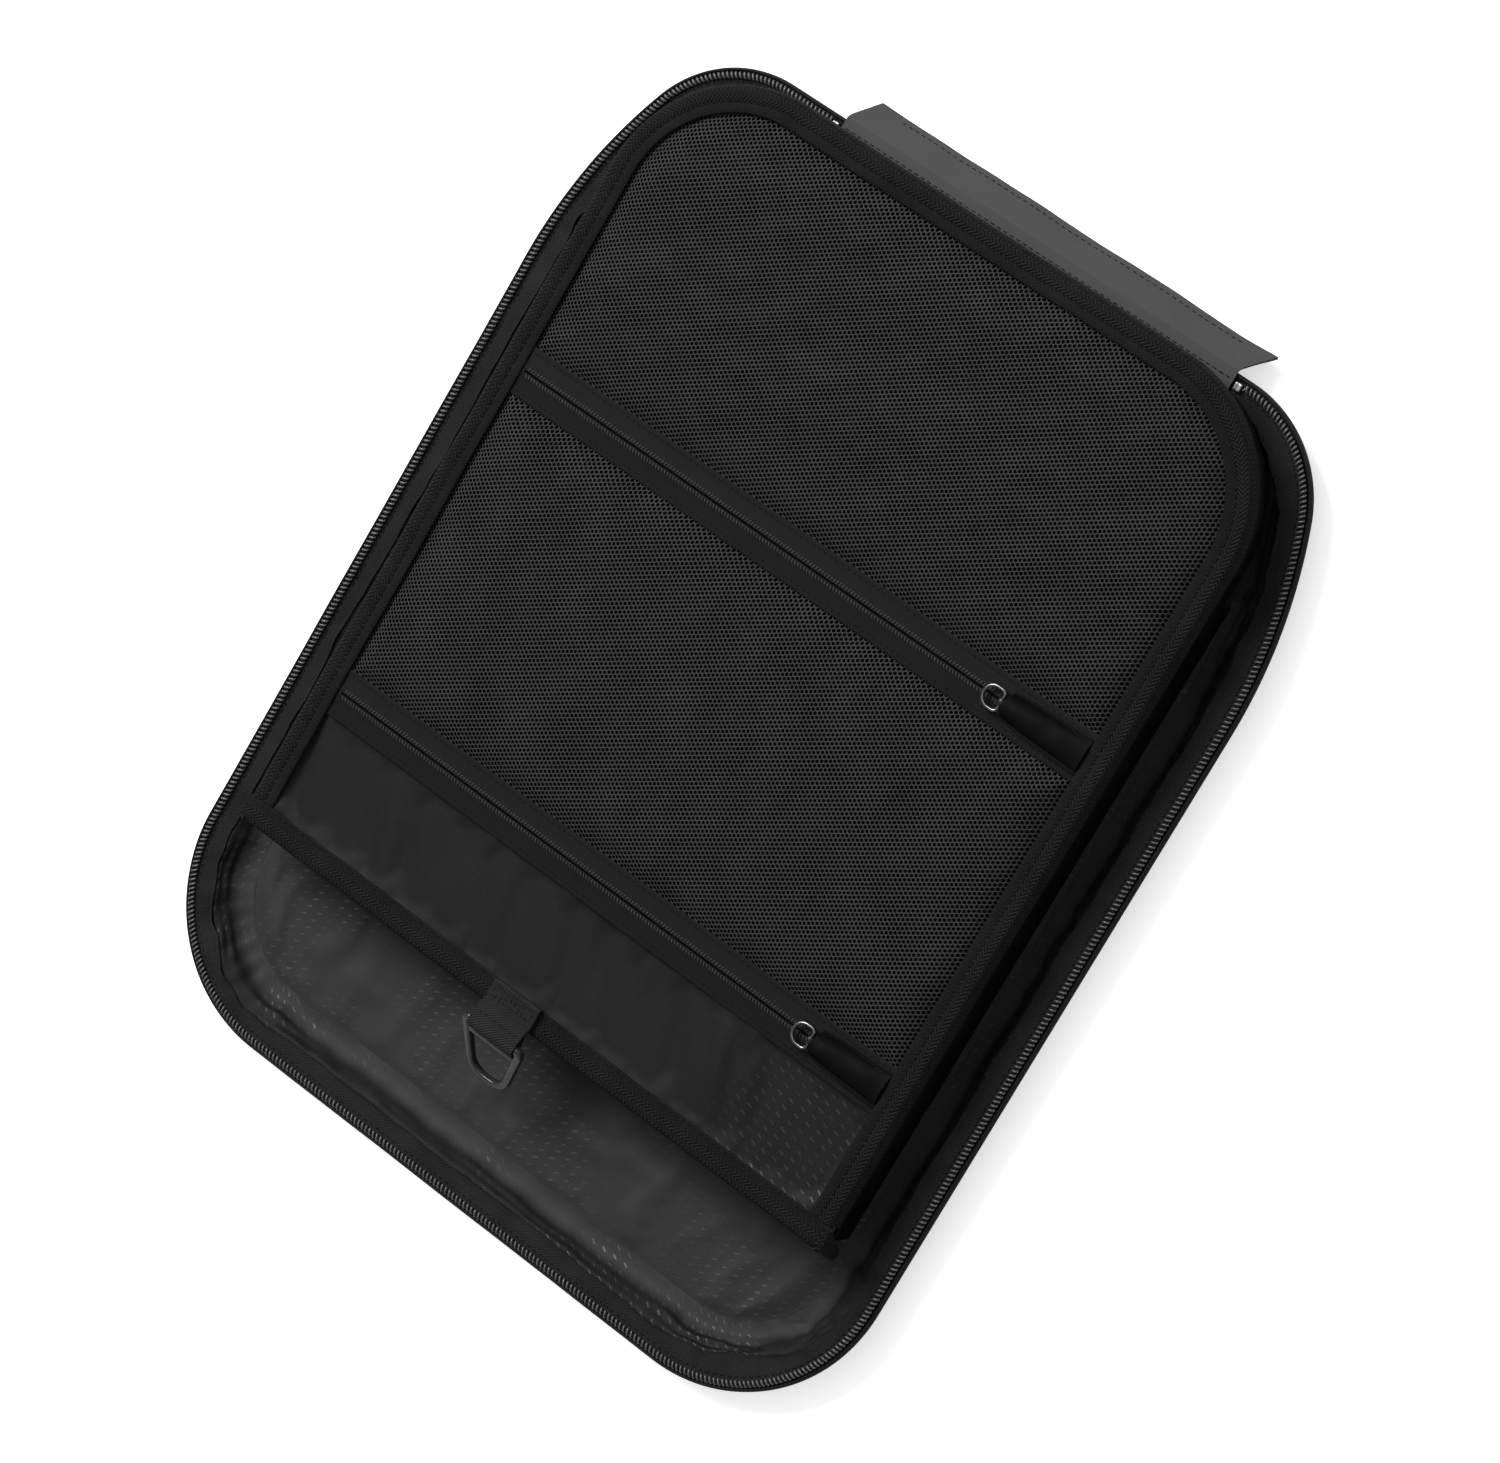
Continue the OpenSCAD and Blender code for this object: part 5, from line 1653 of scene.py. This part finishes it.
def build_ring():
    hang = math.radians(38)
    n = np.array([0.9766, -0.2149])
    # centre line: bar, small corner, leg, round bow
    pts = [(x, 0.0) for x in np.linspace(-12.36, 12.36, 17)][:-1]
    right = [(12.36 + 1.6 * math.cos(a), -1.6 + 1.6 * math.sin(a)) for a in np.radians(np.linspace(90, -12.4, 9))]
    a, b = np.array(right[-1]), np.array([1.6, -19.3]) + 8.3 * n
    right += [tuple(a + (b - a) * t) for t in np.linspace(0, 1, 14)[1:-1]]
    right += [(1.6 + 8.3 * math.cos(t), -19.3 + 8.3 * math.sin(t)) for t in np.radians(np.linspace(-12.4, -90, 16))]
    pts += right + [(0.0, -27.6)] + [(-x, y) for x, y in right[::-1]][:-1]
    q = np.array(pts + pts[:1])
    ln = np.concatenate([[0], np.cumsum(np.linalg.norm(np.diff(q, axis=0), axis=1))])
    k = np.linspace(0, ln[-1], 193)[:-1]
    p = np.stack([np.interp(k, ln, q[:, i]) for i in (0, 1)], 1)
    for _ in range(3):
        sm = p * 0.5 + (np.roll(p, 1, 0) + np.roll(p, -1, 0)) * 0.25
        keep = (np.abs(p[:, 0]) < 12.2) & (p[:, 1] > -1.0)
        p = np.where(keep[:, None], p, sm)
    tan = np.roll(p, -1, 0) - np.roll(p, 1, 0)
    tan /= np.linalg.norm(tan, axis=1, keepdims=True)
    nrm = np.stack([tan[:, 1], -tan[:, 0]], 1)
    onbar = smooth((12.9 - np.abs(p[:, 0])) / 1.0) * (p[:, 1] > -1.2)
    sides = 24
    ph = np.arange(sides) / sides * 2 * np.pi
    # bow: a flat section with small round edges; bar: round
    e = 0.42
    cx, cz = np.cos(ph), np.sin(ph)
    sq = np.stack([np.sign(cx) * np.abs(cx) ** e * 1.68, np.sign(cz) * np.abs(cz) ** e * 1.58], 1)
    rd = np.stack([cx, cz], 1) * 1.96
    sec = sq[None] * (1 - onbar)[:, None, None] + rd[None] * onbar[:, None, None]
    v = np.stack([p[:, None, 0] + nrm[:, None, 0] * sec[..., 0], p[:, None, 1] + nrm[:, None, 1] * sec[..., 0], sec[..., 1]], -1)
    idx = np.arange(len(p) * sides).reshape(len(p), sides)
    nx = np.roll(idx, -1, 0)
    g = Geo()
    g.add(v, [np.stack([idx, nx, np.roll(nx, -1, 1), np.roll(idx, -1, 1)], -1).reshape(-1, 4)])
    # cross bar that keeps the webbing on its own side
    rbox((0, -5.35, 0), (12.1, 1.03, 1.4), 0.4, 8, None, g)
    w = []
    for block in g.v:
        block = block.reshape(-1, 3)
        w.append(np.stack([TX + block[:, 0], YBAR + block[:, 1] * math.cos(hang) - block[:, 2] * math.sin(hang),
                           ZBAR + block[:, 1] * math.sin(hang) + block[:, 2] * math.cos(hang)], 1))
    g.v = w
    place("d_ring_moulded", g, G["ring"], "ring", replaces=["d_ring"], slot="ring", angle=50)


# ---- put it together ------------------------------------------------------

build_shell()
build_piping()
build_rim_tape()
build_rim_coil()
build_rim_stops()
build_floor()
build_side_lining()
build_hinge()
build_panel_layers()
build_flap()
build_nets()
build_zip("upper", UZ, USX, "upper_zip_tape", "upper_zip_coil", "upper_zip_end_stops", 201)
build_zip("lower", LZ, LSX, "lower_zip_tape", "lower_zip_coil", "lower_zip_end_stops", 211)
build_garage("upper", UZ, USX, "upper_zip_garage", 221)
build_garage("lower", LZ, LSX, "lower_zip_garage", 231)
build_slider("upper", UZ, USX, "upper_slider", "upper_slider")
build_slider("lower", LZ, LSX, "lower_slider", "lower_slider")
build_loop("upper", UZ, USX, "upper_pull", "upper_pull_loop")
build_loop("lower", LZ, LSX, "lower_pull", "lower_pull_loop")
build_binding()
build_mouth()
build_gussets()
build_tab()
build_ring()


# ---- floor, light and camera ----------------------------------------------

def build_stage():
    g = Geo()
    r = 12000.0
    n = 24
    t = np.linspace(-r, r, n)
    x, y = np.meshgrid(t, t)
    g.add(np.stack([x, y, np.full(x.shape, -0.35)], -1).reshape(-1, 3),
          [np.stack([np.arange(n * n).reshape(n, n)[:-1, :-1], np.arange(n * n).reshape(n, n)[:-1, 1:], np.arange(n * n).reshape(n, n)[1:, 1:], np.arange(n * n).reshape(n, n)[1:, :-1]], -1).reshape(-1, 4)])
    a = Mat("studio_floor")
    w = a.noise(900.0, 2, uv=False)
    a.set("Base Color", a.mix(w, (0.86, 0.86, 0.86), (0.88, 0.88, 0.88)))
    a.set("Roughness", 0.9)
    a.set("Specular IOR Level", 0.1)
    lp = a.nt.nodes.new("ShaderNodeLightPath")
    a.set("Emission Color", (1.0, 1.0, 1.0))
    a.set("Emission Strength", E(a.nt, lp.outputs["Is Camera Ray"]) * 0.60)
    ob = g.mesh("studio_floor", [a.m], angle=0)
    world = bpy.data.worlds.new("studio")
    bpy.context.scene.world = world
    world.use_nodes = True
    nt = world.node_tree
    nt.nodes.clear()
    out = nt.nodes.new("ShaderNodeOutputWorld")
    mix = nt.nodes.new("ShaderNodeMixShader")
    lp = nt.nodes.new("ShaderNodeLightPath")
    b1, b2 = nt.nodes.new("ShaderNodeBackground"), nt.nodes.new("ShaderNodeBackground")
    b1.inputs[0].default_value = (1, 1, 1, 1)
    b1.inputs[1].default_value = 0.30
    b2.inputs[0].default_value = (1, 1, 1, 1)
    b2.inputs[1].default_value = 1.0
    nt.links.new(lp.outputs["Is Camera Ray"], mix.inputs[0])
    nt.links.new(b1.outputs[0], mix.inputs[1])
    nt.links.new(b2.outputs[0], mix.inputs[2])
    nt.links.new(mix.outputs[0], out.inputs[0])

    def area(name, pos, target, size, power):
        from mathutils import Vector
        la = bpy.data.lights.new(name, "AREA")
        la.shape = "RECTANGLE"
        la.size, la.size_y = size
        la.energy = power
        ob = bpy.data.objects.new(name, la)
        ob.location = pos
        d = Vector(target) - Vector(pos)
        ob.rotation_euler = d.to_track_quat("-Z", "Y").to_euler()
        COL.objects.link(ob)
        return ob
    area("key_softbox", (-1.45, 0.95, 1.95), (0, 0, 0), (1.3, 1.3), 90)
    area("top_fill", (0.3, 0.9, 2.6), (0, 0, 0), (2.4, 1.6), 15)


build_stage()


def build_camera():
    from mathutils import Matrix, Vector
    cam = bpy.data.cameras.new("camera")
    ob = bpy.data.objects.new("camera", cam)
    COL.objects.link(ob)
    d = Vector((-0.3821, -0.2045, -0.9012)).normalized()
    up = Vector((-0.5357, 0.8437, 0.0357))
    right = d.cross(up).normalized()
    up = right.cross(d).normalized()
    ob.matrix_world = Matrix(((right.x, up.x, -d.x, 0.8273), (right.y, up.y, -d.y, 0.4412), (right.z, up.z, -d.z, 1.9436), (0, 0, 0, 1)))
    cam.sensor_fit = "HORIZONTAL"
    cam.sensor_width = 36.0
    cam.lens = 5453.9 * 36 / 1500
    cam.clip_end = 200
    bpy.context.scene.camera = ob


build_camera()
bpy.context.scene.view_settings.view_transform = "Standard"
